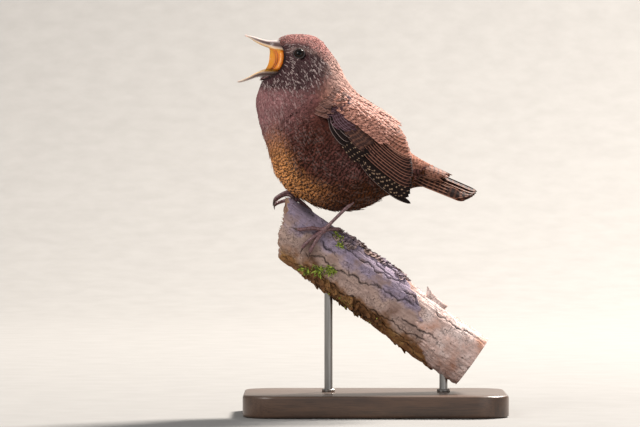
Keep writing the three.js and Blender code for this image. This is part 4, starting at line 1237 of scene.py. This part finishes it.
def body_half(x, z):
    """Half the width of the body at places in the side view, for the face."""
    t, turn = grid(np.linspace(0, 6, 241), np.linspace(0.02, np.pi - 0.02, 181))
    cloud = body_place(t, turn).reshape(-1, 3)
    away = (cloud[None, :, 0] - x[:, None]) ** 2 + (cloud[None, :, 2] - z[:, None]) ** 2
    return np.abs(cloud[away.argmin(axis=1), 1])


def mouth_place(radius, angle, y):
    """Points of the mouth's skin, kept between the two halves of the bill."""
    x = MOUTH_CENTRE[0] + radius * np.cos(angle)
    z = MOUTH_CENTRE[2] + radius * np.sin(angle)
    for stations, way in ((UPPER_BILL, 1), (LOWER_BILL, -1)):
        order = stations[::-1]
        edge = np.interp(x, order[:, 0], order[:, 2]) + way * 0.35 * MM
        inside = 0.85 * np.interp(x, order[:, 0], order[:, 3])
        within = np.clip(y, -inside, inside)
        beyond = way * (z - edge) > 0
        near = smooth(way * (z - edge), -1.2 * MM, 0)
        y = np.where(beyond, within, mix(y, within, near))
        z = np.where(beyond, edge, z)
    return stack(x, y, z)


def make_mouth():
    """The stretched corners of the mouth and its lining, a bowl with a soft rolled fold; painted shade
    darkens the fold and the throat.
    """
    f = np.linspace(0, 1, MOUTH_ROWS)[:, None]
    w = np.linspace(-1, 1, MOUTH_COLUMNS)[None]
    angle = mix(*MOUTH_TURN, f)
    arch = np.sin(np.pi * f)
    free = mix(*MOUTH_FREE_EDGE, arch ** 0.7)
    x = MOUTH_CENTRE[0] + MOUTH_FACE * np.cos(angle[:, 0])
    z = MOUTH_CENTRE[2] + MOUTH_FACE * np.sin(angle[:, 0])
    half = np.maximum(body_half(x, z), 1.6 * MM)[:, None]
    # From the near free edge back along the cheek, across the throat, and forward again
    back_share = np.clip((1 - np.abs(w)) / 0.45, 0, 1)
    radius = free + (MOUTH_FACE - free) * np.sin(0.5 * np.pi * back_share) ** 0.8
    y = half * np.sign(w) * (mix(0.82, 1.0, back_share) * (1 - smooth(1 - np.abs(w), 0.3, 1.0)))
    roll = MOUTH_FOLD * np.exp(-((back_share - 0.55) / 0.16) ** 2) * arch ** 0.5
    fold_place = mix(0.16, 0.32, np.sin(np.pi * np.minimum(1.1 * f + 0.1, 1)))
    groove = MOUTH_FOLD * np.exp(-((back_share - fold_place) / 0.06) ** 2) * arch ** 0.5
    outer = mouth_place(radius, angle, y + np.sign(w) * (roll - groove))
    inner = mouth_place(radius - MOUTH_WALL * back_share ** 0.5, angle, y * mix(0.97, 0.86, back_share))
    # Painted shade: darker along the fold and towards the back, and darkest down the middle of the throat
    crease_shade = np.exp(-((back_share - fold_place) / 0.07) ** 2) * arch ** 0.3
    crease_shade = crease_shade + 0.3 * smooth(back_share, 0.55, 0.95)
    throat_shade = np.exp(-(w / 0.3) ** 2) * arch ** 0.6
    depth = np.concatenate([(0.08 + crease_shade).ravel(), (0.3 + 0.7 * throat_shade).ravel()])

    quads = grid_quads(MOUTH_ROWS, MOUTH_COLUMNS)
    numbers = np.arange(MOUTH_ROWS * MOUTH_COLUMNS).reshape(MOUTH_ROWS, MOUTH_COLUMNS)
    rim = np.concatenate([numbers[0], numbers[1:, -1], numbers[-1, -2::-1], numbers[-2:0:-1, 0]])
    following = np.roll(rim, -1)
    wall = stack(rim, rim + numbers.size, following + numbers.size, following)
    shape = Shape()
    shape.add(
        np.concatenate([outer.reshape(-1, 3), inner.reshape(-1, 3)]),
        quads, quads[:, ::-1] + numbers.size, wall, depth=depth,
    )
    material = mouth_material()
    dress(shape.build("mouth_skin"), material, ("mouth_lining",))

    t = np.linspace(0, 4, 24)
    line = through(TONGUE, t)
    path = stack(line[:, 0], 0 * t, line[:, 1])
    rings = sweep(path, np.interp(t, np.arange(5), TONGUE_HALF) * MM, sides=20, flatten=0.3)
    shape = Shape()
    shape.loft(rings, depth=np.full(rings.shape[:2], 0.35))
    dress(shape.build("tongue_skin"), material, ("tongue",))


# The two rims of each eye's lids: how far each lies outside the eye's edge, and its thickness
LID_RIMS = ((0.0, 0.14), (0.11, 0.17))
LID_STEPS = 90
LID_SIDES = 8
LID_BEADS = 15


def ball(rows, columns, margin, pole, first, second):
    """The rings of a ball as angles from its pole and directions from its centre."""
    polar, angle = grid(np.linspace(margin, np.pi - margin, rows), whole_turn(columns))
    return polar, towards(pole, towards(first, second, angle), polar)


def make_eyes():
    eye, lid = eye_material(), lid_material()
    for word, side in SIDES.items():
        surface, normal = eye_surface(side)
        centre = surface + normal * (EYE_STANDS_OUT - EYE_RADIUS)
        first = unit(np.cross(normal, np.array([0, 0, 1.0])))
        second = np.cross(normal, first)
        polar, directions = ball(40, 56, 0.02, normal, first, second)
        bulge = 1 + 0.03 * np.exp(-(polar / 0.5) ** 2)
        shape = Shape()
        shape.loft(centre + EYE_RADIUS * bulge[..., None] * directions, off_axis=polar)
        dress(shape.build(f"eye_{word}_ball"), eye, (f"eye_{word}",))

        edge = math.acos((EYE_RADIUS - EYE_STANDS_OUT) / EYE_RADIUS) + 0.03
        shape = Shape()
        turns = whole_turn(LID_STEPS)
        for ring, (offset, thick) in enumerate(LID_RIMS):
            opening = edge + offset + 0.04 * np.cos(2 * turns)
            path = centre + (EYE_RADIUS + 0.02 * MM) * towards(normal, towards(first, second, turns), opening)
            bead = 1 + 0.16 * np.abs(np.sin(LID_BEADS * turns + ring))
            radial = unit(path - centre)
            beside = unit(np.cross(radial, np.roll(path, -1, axis=0) - path))
            spin = whole_turn(LID_SIDES)[None]
            rings = path[:, None] + each(thick * MM * bead) * towards(radial[:, None], beside[:, None], spin)
            quads = grid_quads(LID_STEPS + 1, LID_SIDES, closed=True) % (LID_STEPS * LID_SIDES)
            upper = smooth(radial[:, 2] + 0.25 * radial[:, 0], 0.4, 0.75) * (0.5 if ring else 0.1)
            shape.add(rings, quads, upper=np.repeat(upper, LID_SIDES))
        dress(shape.build(f"eyelid_{word}"), lid)


# Branch

def angle_between(a, b):
    return np.arctan2(np.sin(a - b), np.cos(a - b))


# Knots of the branch: place along it, angle, length, width and height
KNOTS = ((24, 0.1, 5, 0.5, 1.1), (39, 0, 7, 0.45, 0.9), (74, 1.2, 6, 0.7, 1.2))


def bark_place(along, angle, lift=0.0):
    """Points of the bark, as in the part. along is counted down the branch, angle from its top towards -Y."""
    mm = along / MM
    ridges = (0.025 * np.sin(2 * angle + 0.8) + 0.018 * np.sin(5 * angle + 0.07 * mm)
              + 0.02 * np.sin(0.16 * mm + angle))
    bumps = sum(
        height * np.exp(-((mm - place) / length) ** 2 - (angle_between(angle, turn) / width) ** 2)
        for place, turn, length, width, height in KNOTS
    )
    radius = BRANCH_RADIUS * (1 + ridges) + bumps * MM + lift
    across = radius * np.cos(angle)
    return stack(
        BRANCH_START[0] + along * math.cos(BRANCH_SLOPE) + across * math.sin(BRANCH_SLOPE),
        BRANCH_START[1] - radius * np.sin(angle),
        BRANCH_START[2] - along * math.sin(BRANCH_SLOPE) + across * math.cos(BRANCH_SLOPE),
    )


# Long cracks in the bark: where each starts, its length and its angle, in millimetres and radians
CRACKS = [(17, 30, 0.85), (23, 26, 0.3), (31, 20, 0.55), (36, 22, 1.2), (10, 22, 1.75), (47, 14, 0.9),
          (20, 44, 2.35), (52, 20, 1.65), (34, 22, -0.1), (20, 24, -1.2), (56, 18, 2.75), (30, 26, -2.1),
          (4, 30, 2.6), (26, 18, 1.45), (12, 12, 1.2), (40, 30, 2.05), (60, 20, 0.7), (62, 20, -0.4)]
BARE_FROM = 46.0
# How far the painted shadow beneath the foot reaches along the branch, in millimetres
FOOT_SHADOW_LENGTH = 9.0
BREAK_BULGE = 2.1 * MM
BREAK_RINGS = (0.94, 0.8, 0.55, 0.3, 0.1)
CUT_RINGS = (0.985, 0.6, 0.2)
BARK_ROWS = 300
BARK_SIDES = 220


def bark_detail(along, angle):
    """Extra height of the bark, its cracks with the painted shadow under the foot, and how bare the wood is.
    """
    mm = along / MM
    spot = stack(mm * 0.16, 3.2 * np.cos(angle), 3.2 * np.sin(angle))
    coarse = rough_noise(spot, 3, 4)
    grain = rough_noise(spot * np.array([1.0, 5.0, 5.0]), 9, 3)
    under = smooth(-np.cos(angle), 0.3, 0.9)
    peeling = under * np.abs(lattice_noise(spot * np.array([2.2, 1.2, 1.2]), 15))
    height = 0.22 * coarse + 0.10 * grain + 0.5 * peeling
    crack = np.zeros_like(mm)
    for start, length, turn in CRACKS:
        line = stack(0.22 * mm + 7 * turn, 0 * mm + start, 0 * mm)
        middle = turn + 0.16 * rough_noise(line, 5, 4)
        within = smooth(mm, start, start + 3) * (1 - smooth(mm, start + length - 6, start + length))
        wide = 0.014 + 0.03 * within * (0.5 + 0.5 * lattice_noise(line * 2.5, 6))
        crack = np.maximum(crack, within * np.exp(-(angle_between(angle, middle) / wide) ** 2))
    edge = BARE_FROM + 3 * lattice_noise(spot * 2, 21) + 11 * np.abs(angle_between(angle, 0.2)) ** 0.8
    bare = smooth(mm, edge, edge + 0.8)
    height = height - 0.5 * crack - 0.45 * bare + 0.15 * bare * grain
    # Painted shadow: the bark and wood are darkened beneath the foot that holds the broken end
    away = (mm - 3) / FOOT_SHADOW_LENGTH + 0.3 * coarse
    painted_foot_shadow = (1 - smooth(np.abs(away), 0.3, 0.8)) * (1 - smooth(np.abs(angle_between(angle, 0.15)), 0.3, 0.65))
    return height * MM, np.maximum(crack, 0.72 * painted_foot_shadow), bare


def broken_edge(angle):
    """Where along the branch the break runs: slanted, and bulging below its middle."""
    bulge = BREAK_BULGE * np.exp(-((np.cos(angle) + 0.45) / 0.5) ** 2)
    return -BREAK_SLANT * np.cos(angle) + 0.5 * MM * np.sin(3 * angle) - bulge


def drawn_in(ring, share):
    middle = ring.mean(axis=0)
    return middle + (ring - middle) * share


def end_bark(rings, bare, crack):
    """What the material reads on the rings of an end."""
    return np.broadcast_to(np.array([-1.0, bare, crack]), (len(rings), BARK_SIDES, 3))


def make_branch():
    angle = whole_turn(BARK_SIDES)[None]
    spot = stack(4 * np.cos(angle), 4 * np.sin(angle), 0 * angle)
    start = broken_edge(angle) + 0.9 * MM * lattice_noise(spot * 2, 5)
    along = mix(start, BRANCH_LENGTH, np.linspace(0, 1, BARK_ROWS)[:, None])
    angle = np.broadcast_to(angle, along.shape)
    # crack holds the cracks and the painted shadow beneath the foot
    height, crack, bare = bark_detail(along, angle)
    height = height - 0.5 * MM * np.exp(-((along - along[:1]) / (1.2 * MM)))
    rings = bark_place(along, angle, height - 0.05 * MM)
    bark = stack(np.cos(angle - 0.35) + 0.1, bare, crack)
    broken = []
    for k, share in enumerate(BREAK_RINGS):
        ring = drawn_in(rings[0], share)
        ragged = lattice_noise(ring / (0.9 * MM), 31 + k) * 0.7 * MM - 0.5 * MM * (1 - share)
        broken.insert(0, ring - ragged[:, None] * DOWN_BRANCH)
    cut = [drawn_in(rings[-1], share) for share in CUT_RINGS]
    shape = Shape()
    shape.loft(
        np.concatenate([broken, rings, cut]),
        bark=np.concatenate([end_bark(broken, 0.35, 0.1), bark, end_bark(cut, 0.9, 0.0)]),
    )
    add_snag(shape)
    add_flakes(shape)
    add_splinters(shape)
    dress(shape.build("branch_bark"), bark_material(), ("perch_branch",))


# The snag: its place along the branch and angle, its line, its half widths and how bare it is
SNAG_PLACE = 64 * MM
SNAG_ANGLE = 0.15
SNAG_LINE = np.array([(0, 0, 0), (-1.6, -0.3, 2), (-3, -0.5, 4), (-4.1, -0.7, 6.3), (-4.8, -0.8, 9.2)]) * MM
SNAG_HALF = np.array([3.4, 2.8, 2.1, 1.2, 0.2]) * MM


def add_snag(shape):
    """The pointed splinter that stands up from the bare wood."""
    foot = bark_place(np.array(SNAG_PLACE), np.array(SNAG_ANGLE), -2 * MM)
    rings = sweep(foot + SNAG_LINE, SNAG_HALF, sides=14, flatten=0.45, up=(0, 1, 0))
    shape.loft(rings, bark=np.broadcast_to(np.array([0.2, 1.0, 0.0]), rings.shape))


# Loose bark: where each patch starts and ends, its range of angles, its count, and the size of its crumbs
CRUMBS = [(15, 24, 0.0, 0.75, 46, 2.0), (24, 36, -0.35, 0.3, 60, 3.0), (36, 46, -0.3, 0.1, 34, 3.4),
          (12, 50, 2.3, 3.0, 70, 3.6), (41, 45, 0.1, 0.5, 10, 3.0), (10, 70, 3.3, 5.6, 90, 4.0)]


def add_flakes(shape):
    """Crumbs and peeling flakes of bark, darker in their gaps."""
    flakes = [
        (rng.uniform(start, end), rng.uniform(first, last), size * rng.uniform(0.4, 1.1),
         size * rng.uniform(0.02, 0.055), rng.uniform(0.15, 0.9))
        for start, end, first, last, count, size in CRUMBS for _ in range(count)
    ]
    v, c = grid(np.linspace(0, 1, 8), np.linspace(-1, 1, 7))
    for number, (start, turn, length, width, lift) in enumerate(flakes):
        ragged = lattice_noise(stack(3 * v, 3 * c, 0 * v + number), 41)
        outline = np.sqrt(np.maximum(1 - (2 * v - 1) ** 4, 0.05)) * (1 + 0.3 * ragged)
        along = (start + length * (v + 0.06 * ragged)) * MM
        angle = turn + width * c * outline
        rise = (0.15 + lift * np.abs(c) ** 2 * 0.4 + lift * smooth(v, 0.4, 1) * 0.8 + 0.2 * ragged) * MM
        top = bark_place(along, angle, rise)
        outward = unit(top - bark_place(along, angle, rise - MM))
        points, quads = vane_surface(top[None], 0.35 * MM, outward[None])
        crack = rng.uniform(0, 1) ** 2 * 0.8
        shape.add(points, quads[:, ::-1], bark=np.array([math.cos(turn) - 0.3, 0.0, crack]))


FIBRE_COUNT = 60
FIBRE_LENGTH = (0.3, 1.5)
FIBRE_HALF = np.array([0.4, 0.3, 0.2, 0.05]) * MM


def add_splinters(shape):
    """Short fibres that stand out of the broken end."""
    turns = rng.uniform(0, 2 * np.pi, FIBRE_COUNT)
    shares = np.sqrt(rng.uniform(0.1, 0.95, FIBRE_COUNT))
    for turn, share, length in zip(turns, shares, rng.uniform(*FIBRE_LENGTH, FIBRE_COUNT)):
        rim = bark_place(broken_edge(turn), np.array(turn), -0.5 * MM)
        foot = BRANCH_START + (rim - BRANCH_START) * share
        path = foot - DOWN_BRANCH * np.linspace(-1.0, length, 4)[:, None] * MM
        rings = sweep(path, FIBRE_HALF, sides=5, flatten=0.6, up=(0, 1, 0))
        shape.loft(rings, bark=np.broadcast_to(np.array([-1.0, 0.5, 0.0]), rings.shape))


# Tufts of moss: place along the branch, angle, spread, count and length of the leaves
MOSS = [(17.0, 0.55, 1.8, 60, 1.4), (20.0, 0.85, 1.3, 40, 1.4), (15.0, 2.45, 1.3, 60, 2.2),
        (18.6, 2.15, 1.5, 90, 2.6), (22.6, 1.85, 1.5, 80, 2.4), (33.0, 2.7, 4.0, 40, 1.2),
        (45.0, 2.7, 4.0, 30, 1.2)]


def make_moss():
    shape = Shape()
    v, c = grid(np.linspace(0, 1, 5), np.array([-1.0, 0, 1.0]))
    wide = 0.28 * MM * np.sqrt(np.maximum(1 - v ** 2, 0.01))
    for place, turn, spread, count, size in MOSS:
        along = (place + spread * rng.normal(0, 0.6, count)) * MM
        angle = turn + spread * MM / BRANCH_RADIUS * rng.normal(0, 0.5, count)
        foot = bark_place(along, angle, -0.1 * MM)
        outward = unit(bark_place(along, angle, MM) - foot)
        lean = unit(outward + rng.normal(0, 0.55, (count, 3)))
        length = size * MM * rng.uniform(0.5, 1.3, count)
        side = unit(np.cross(lean, rng.normal(0, 1, (count, 3))))
        top = (
            each(foot) + each(lean) * (each(length) * v)[..., None] + each(side) * (wide * c)[..., None]
            + each(outward) * (-0.25 * each(length) * v ** 2)[..., None]
        )
        points, quads = vane_surface(top, 0.08 * MM, each(np.cross(side, lean)) + 0 * top)
        shape.add(points, quads, seed=per_vane(rng.uniform(0, 1, count), 2 * v.size))
    dress(shape.build("moss_tufts"), moss_material())


# Legs and feet

FEET = {
    "left": {
        "hub": (11.9, 0.87, 0), "ankle": np.array([-6.6, -7.5, 79.2]) * MM,
        "toes": [
            [(8.2, 1.05, 0), (4.6, 1.33, 0), (1.8, 1.42, 0)],
            [(10.2, 1.3, 0), (9.3, 1.68, 0), (10, 2, 0)],
            [(11.9, 1.3, 0), (12.3, 1.66, 0), (13.4, 1.98, 0)],
            [(14, 0.62, 0), (16.2, 0.36, 0), (18, 0.12, 0)],
        ],
    },
    "right": {
        "hub": (-2.6, -0.25, 0), "ankle": np.array([-18, 6, 91]) * MM,
        "toes": [
            [(-6.6, -0.02, -0.1), (-9, 0, -4.4), (-8.3, 0, -7)],
            [(-6.6, -0.42, -0.1), (-8.7, -0.46, -4), (-7.8, -0.46, -6.4)],
            [(-5.6, -0.76, 0), (-7.9, -0.95, -2.8), (-7, -1, -5)],
            [(0.6, -0.3, 0), (3.6, -0.36, 0), (5.8, -0.4, 0)],
        ],
    },
}
TOE_RADIUS = 0.8
TOE_END_RADIUS = 0.62
TOE_CLEARANCE = 0.55
TOE_STEPS = 73
HUB_LIFT = TOE_RADIUS + 0.15
HUB_RADIUS = 1.2 * MM
FLESH_SHARE = 0.76
SCUTES = 9
SHANK_STEPS = 60
SHANK_PLATES = 7
SHANK_LENGTH = 12 * MM


def toe_place(point, radius):
    along, angle, lift = point
    return bark_place(np.array(along * MM), np.array(float(angle)), (radius + TOE_CLEARANCE + lift) * MM)


def toe_path(foot, toe):
    middle, end, claw = toe
    knots = np.array([
        toe_place(foot["hub"], HUB_LIFT), toe_place(middle, TOE_RADIUS), toe_place(end, TOE_END_RADIUS),
        toe_place(claw, 0.3),
    ])
    return through(knots, np.linspace(0, 3, TOE_STEPS))


def add_toe(flesh, claws, path):
    """A toe with its scales, swollen at the joints, and a curved claw of its own."""
    last = int(FLESH_SHARE * TOE_STEPS)
    f = np.linspace(0, 1, last)
    scute = SCUTES * f
    swell = 0.07 * np.exp(-((f - 0.45) / 0.08) ** 2) + 0.08 * np.exp(-((f - 0.85) / 0.08) ** 2)
    radius = mix(TOE_RADIUS, TOE_END_RADIUS, f) * (0.94 + swell) + 0.05 * np.abs(np.sin(np.pi * scute))
    radius[-3:] *= np.array([0.92, 0.75, 0.45])
    rings = sweep(path[:last], radius * MM, sides=14, flatten=0.95)
    flesh.loft(rings, scute=np.broadcast_to(scute[:, None], rings.shape[:2]))
    g = np.linspace(0, 1, TOE_STEPS - last + 3)
    claws.loft(sweep(path[last - 3:], mix(0.42, 0.06, g ** 0.8) * MM, sides=12, flatten=1.25))


def make_feet():
    leg, claw = leg_material(), claw_material()
    x, y, z = np.eye(3)
    for word, foot in FEET.items():
        flesh, claws, shank = Shape(), Shape(), Shape()
        for toe in foot["toes"]:
            add_toe(flesh, claws, toe_path(foot, toe))
        hub = toe_place(foot["hub"], HUB_LIFT)
        polar, directions = ball(14, 18, 0.05, z, x, y)
        flesh.loft(hub + HUB_RADIUS * directions, scute=3 * polar)
        dress(flesh.build(f"foot_{word}_toes"), leg, (f"foot_{word}",))
        dress(claws.build(f"foot_{word}_claws"), claw)

        f = np.linspace(0, 1, SHANK_STEPS)
        way = foot["ankle"] - hub
        plates = SHANK_PLATES * f * np.linalg.norm(way) / SHANK_LENGTH
        radius = np.interp(f, [0, 0.12, 0.3, 0.7, 1], [1.0, 0.78, 0.66, 0.72, 1.0])
        radius = radius + 0.05 * np.abs(np.sin(np.pi * plates))
        rings = sweep(hub + way * (f * 0.98)[:, None], radius * MM, sides=16, flatten=0.85)
        shank.loft(rings, scute=np.broadcast_to(plates[:, None], rings.shape[:2]))
        dress(shank.build(f"leg_{word}_scutes"), leg, (f"leg_{word}",))


# Stand

BASE_LENGTH = 96 * MM
BASE_WIDTH = 62 * MM
BASE_HEIGHT = 8 * MM
BASE_CORNER = 12 * MM
BASE_BEVEL = 1 * MM
ROD_RADIUS = 1.5 * MM
ROD_X = {"front": -17 * MM, "rear": 25 * MM}
ROD_SIDES = 48
# The collar round each rod's foot: radii, and heights above the base
COLLAR = ((2.3, 0.01), (2.4, 0.15), (2.4, 0.9), (2.2, 1.1))
SHARP_ANGLE = math.radians(40)


def base_ring(inset, z):
    """A level rectangle with round corners, drawn in by inset."""
    points = []
    for quarter, (sx, sy) in enumerate(((1, 1), (-1, 1), (-1, -1), (1, -1))):
        angle = np.pi / 2 * (quarter + np.linspace(0, 1, 20))
        centre = np.array([sx * (BASE_LENGTH / 2 - BASE_CORNER), sy * (BASE_WIDTH / 2 - BASE_CORNER), z])
        outwards = stack(np.cos(angle), np.sin(angle), 0 * angle)
        points.append(centre + (BASE_CORNER - inset) * outwards)
    return np.concatenate(points)


def make_stand():
    bend = np.linspace(0, np.pi / 2, 6)
    rings = [(BASE_BEVEL * (1 - math.sin(angle)), BASE_BEVEL * (1 - math.cos(angle))) for angle in bend]
    rings += [(inset, BASE_HEIGHT - z) for inset, z in reversed(rings)]
    shape = Shape()
    shape.loft([base_ring(inset, z) for inset, z in rings])
    dress(shape.build("stand_base_wood"), base_material(), ("stand_base",))
    steel = rod_material()
    angle = whole_turn(ROD_SIDES)
    collar = [(radius * MM, BASE_HEIGHT + height * MM) for radius, height in COLLAR]
    for word, x in ROD_X.items():
        low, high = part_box(f"stand_rod_{word}")
        profile = [
            (ROD_RADIUS, low.z), (ROD_RADIUS, collar[0][1]), *collar,
            (ROD_RADIUS, collar[-1][1]), (ROD_RADIUS, high.z),
        ]
        shape = Shape()
        y = BRANCH_START[1]
        shape.loft([
            stack(x + radius * np.cos(angle), y + radius * np.sin(angle), 0 * angle + z)
            for radius, z in profile
        ])
        piece = dress(shape.build(f"stand_rod_{word}_steel"), steel, (f"stand_rod_{word}",))
        piece.data.set_sharp_from_angle(angle=SHARP_ANGLE)


# Camera, light and floor

def make_stage():
    graph, _, colour = speckled("floor_pale", 60.0, (130, 128, 125), (135, 133, 130), Roughness=0.9)
    bend = np.linspace(0, np.pi / 2, 40)
    profile = [(-3.0, 0), *zip(1.0 + 1.2 * np.sin(bend), 1.2 - 1.2 * np.cos(bend)), (2.2, 4.0)]
    rows = np.array([[(x, y, z - 0.0001) for x in (-4.0, 4.0)] for y, z in profile])
    floor = build_mesh("backdrop", rows.reshape(-1, 3), [grid_quads(len(rows), 2)[:, ::-1]])
    floor.data.materials.append(graph.colour(colour).material)


def add_light(name, place, aim, energy, size, colour):
    lamp = bpy.data.lights.new(name, "AREA")
    lamp.energy = energy
    lamp.size = size
    lamp.color = colour
    light = bpy.data.objects.new(name, lamp)
    light.location = place
    light.rotation_euler = look_along(np.array(aim) - np.array(place))
    bpy.context.scene.collection.objects.link(light)


def look_along(direction):
    """The turn that points -Z along a direction, with +Y kept up."""
    x, y, z = unit(np.asarray(direction, dtype=float))
    return (math.acos(-z), 0, math.atan2(-x, y))


def make_lights():
    aim = (-0.005, 0, 0.09)
    add_light("sun_behind", (0.9, 1.1, 1.6), aim, 150, 0.45, (1.0, 0.94, 0.88))
    add_light("key", (-1.5, -1.6, 1.7), aim, 42, 1.2, (1.0, 0.98, 0.95))
    add_light("fill", (1.2, -2.0, 0.6), aim, 10, 1.8, (0.95, 0.97, 1.0))
    world = bpy.data.worlds.new("soft_sky")
    bpy.context.scene.world = world
    world.use_nodes = True
    background = world.node_tree.nodes["Background"]
    background.inputs["Color"].default_value = (0.86, 0.88, 0.92, 1)
    background.inputs["Strength"].default_value = 0.5
    bpy.context.scene.view_settings.view_transform = "Standard"


def make_camera():
    data = bpy.data.cameras.new("camera")
    data.sensor_width = SENSOR_WIDTH
    data.lens = SENSOR_WIDTH * CAMERA_DISTANCE / VIEW_WIDTH
    data.clip_start = 0.01
    camera = bpy.data.objects.new("camera", data)
    place = np.array(VIEW_CENTRE) + np.array([0, -CAMERA_DISTANCE, CAMERA_RISE])
    camera.location = place
    camera.rotation_euler = look_along(np.array(VIEW_CENTRE) - place)
    bpy.context.scene.collection.objects.link(camera)
    bpy.context.scene.camera = camera


make_camera()
make_lights()
make_stage()
make_skin()
make_coat()
make_chin()
make_wings()
make_tail()
make_bill()
make_mouth()
make_eyes()
make_branch()
make_moss()
make_feet()
make_stand()
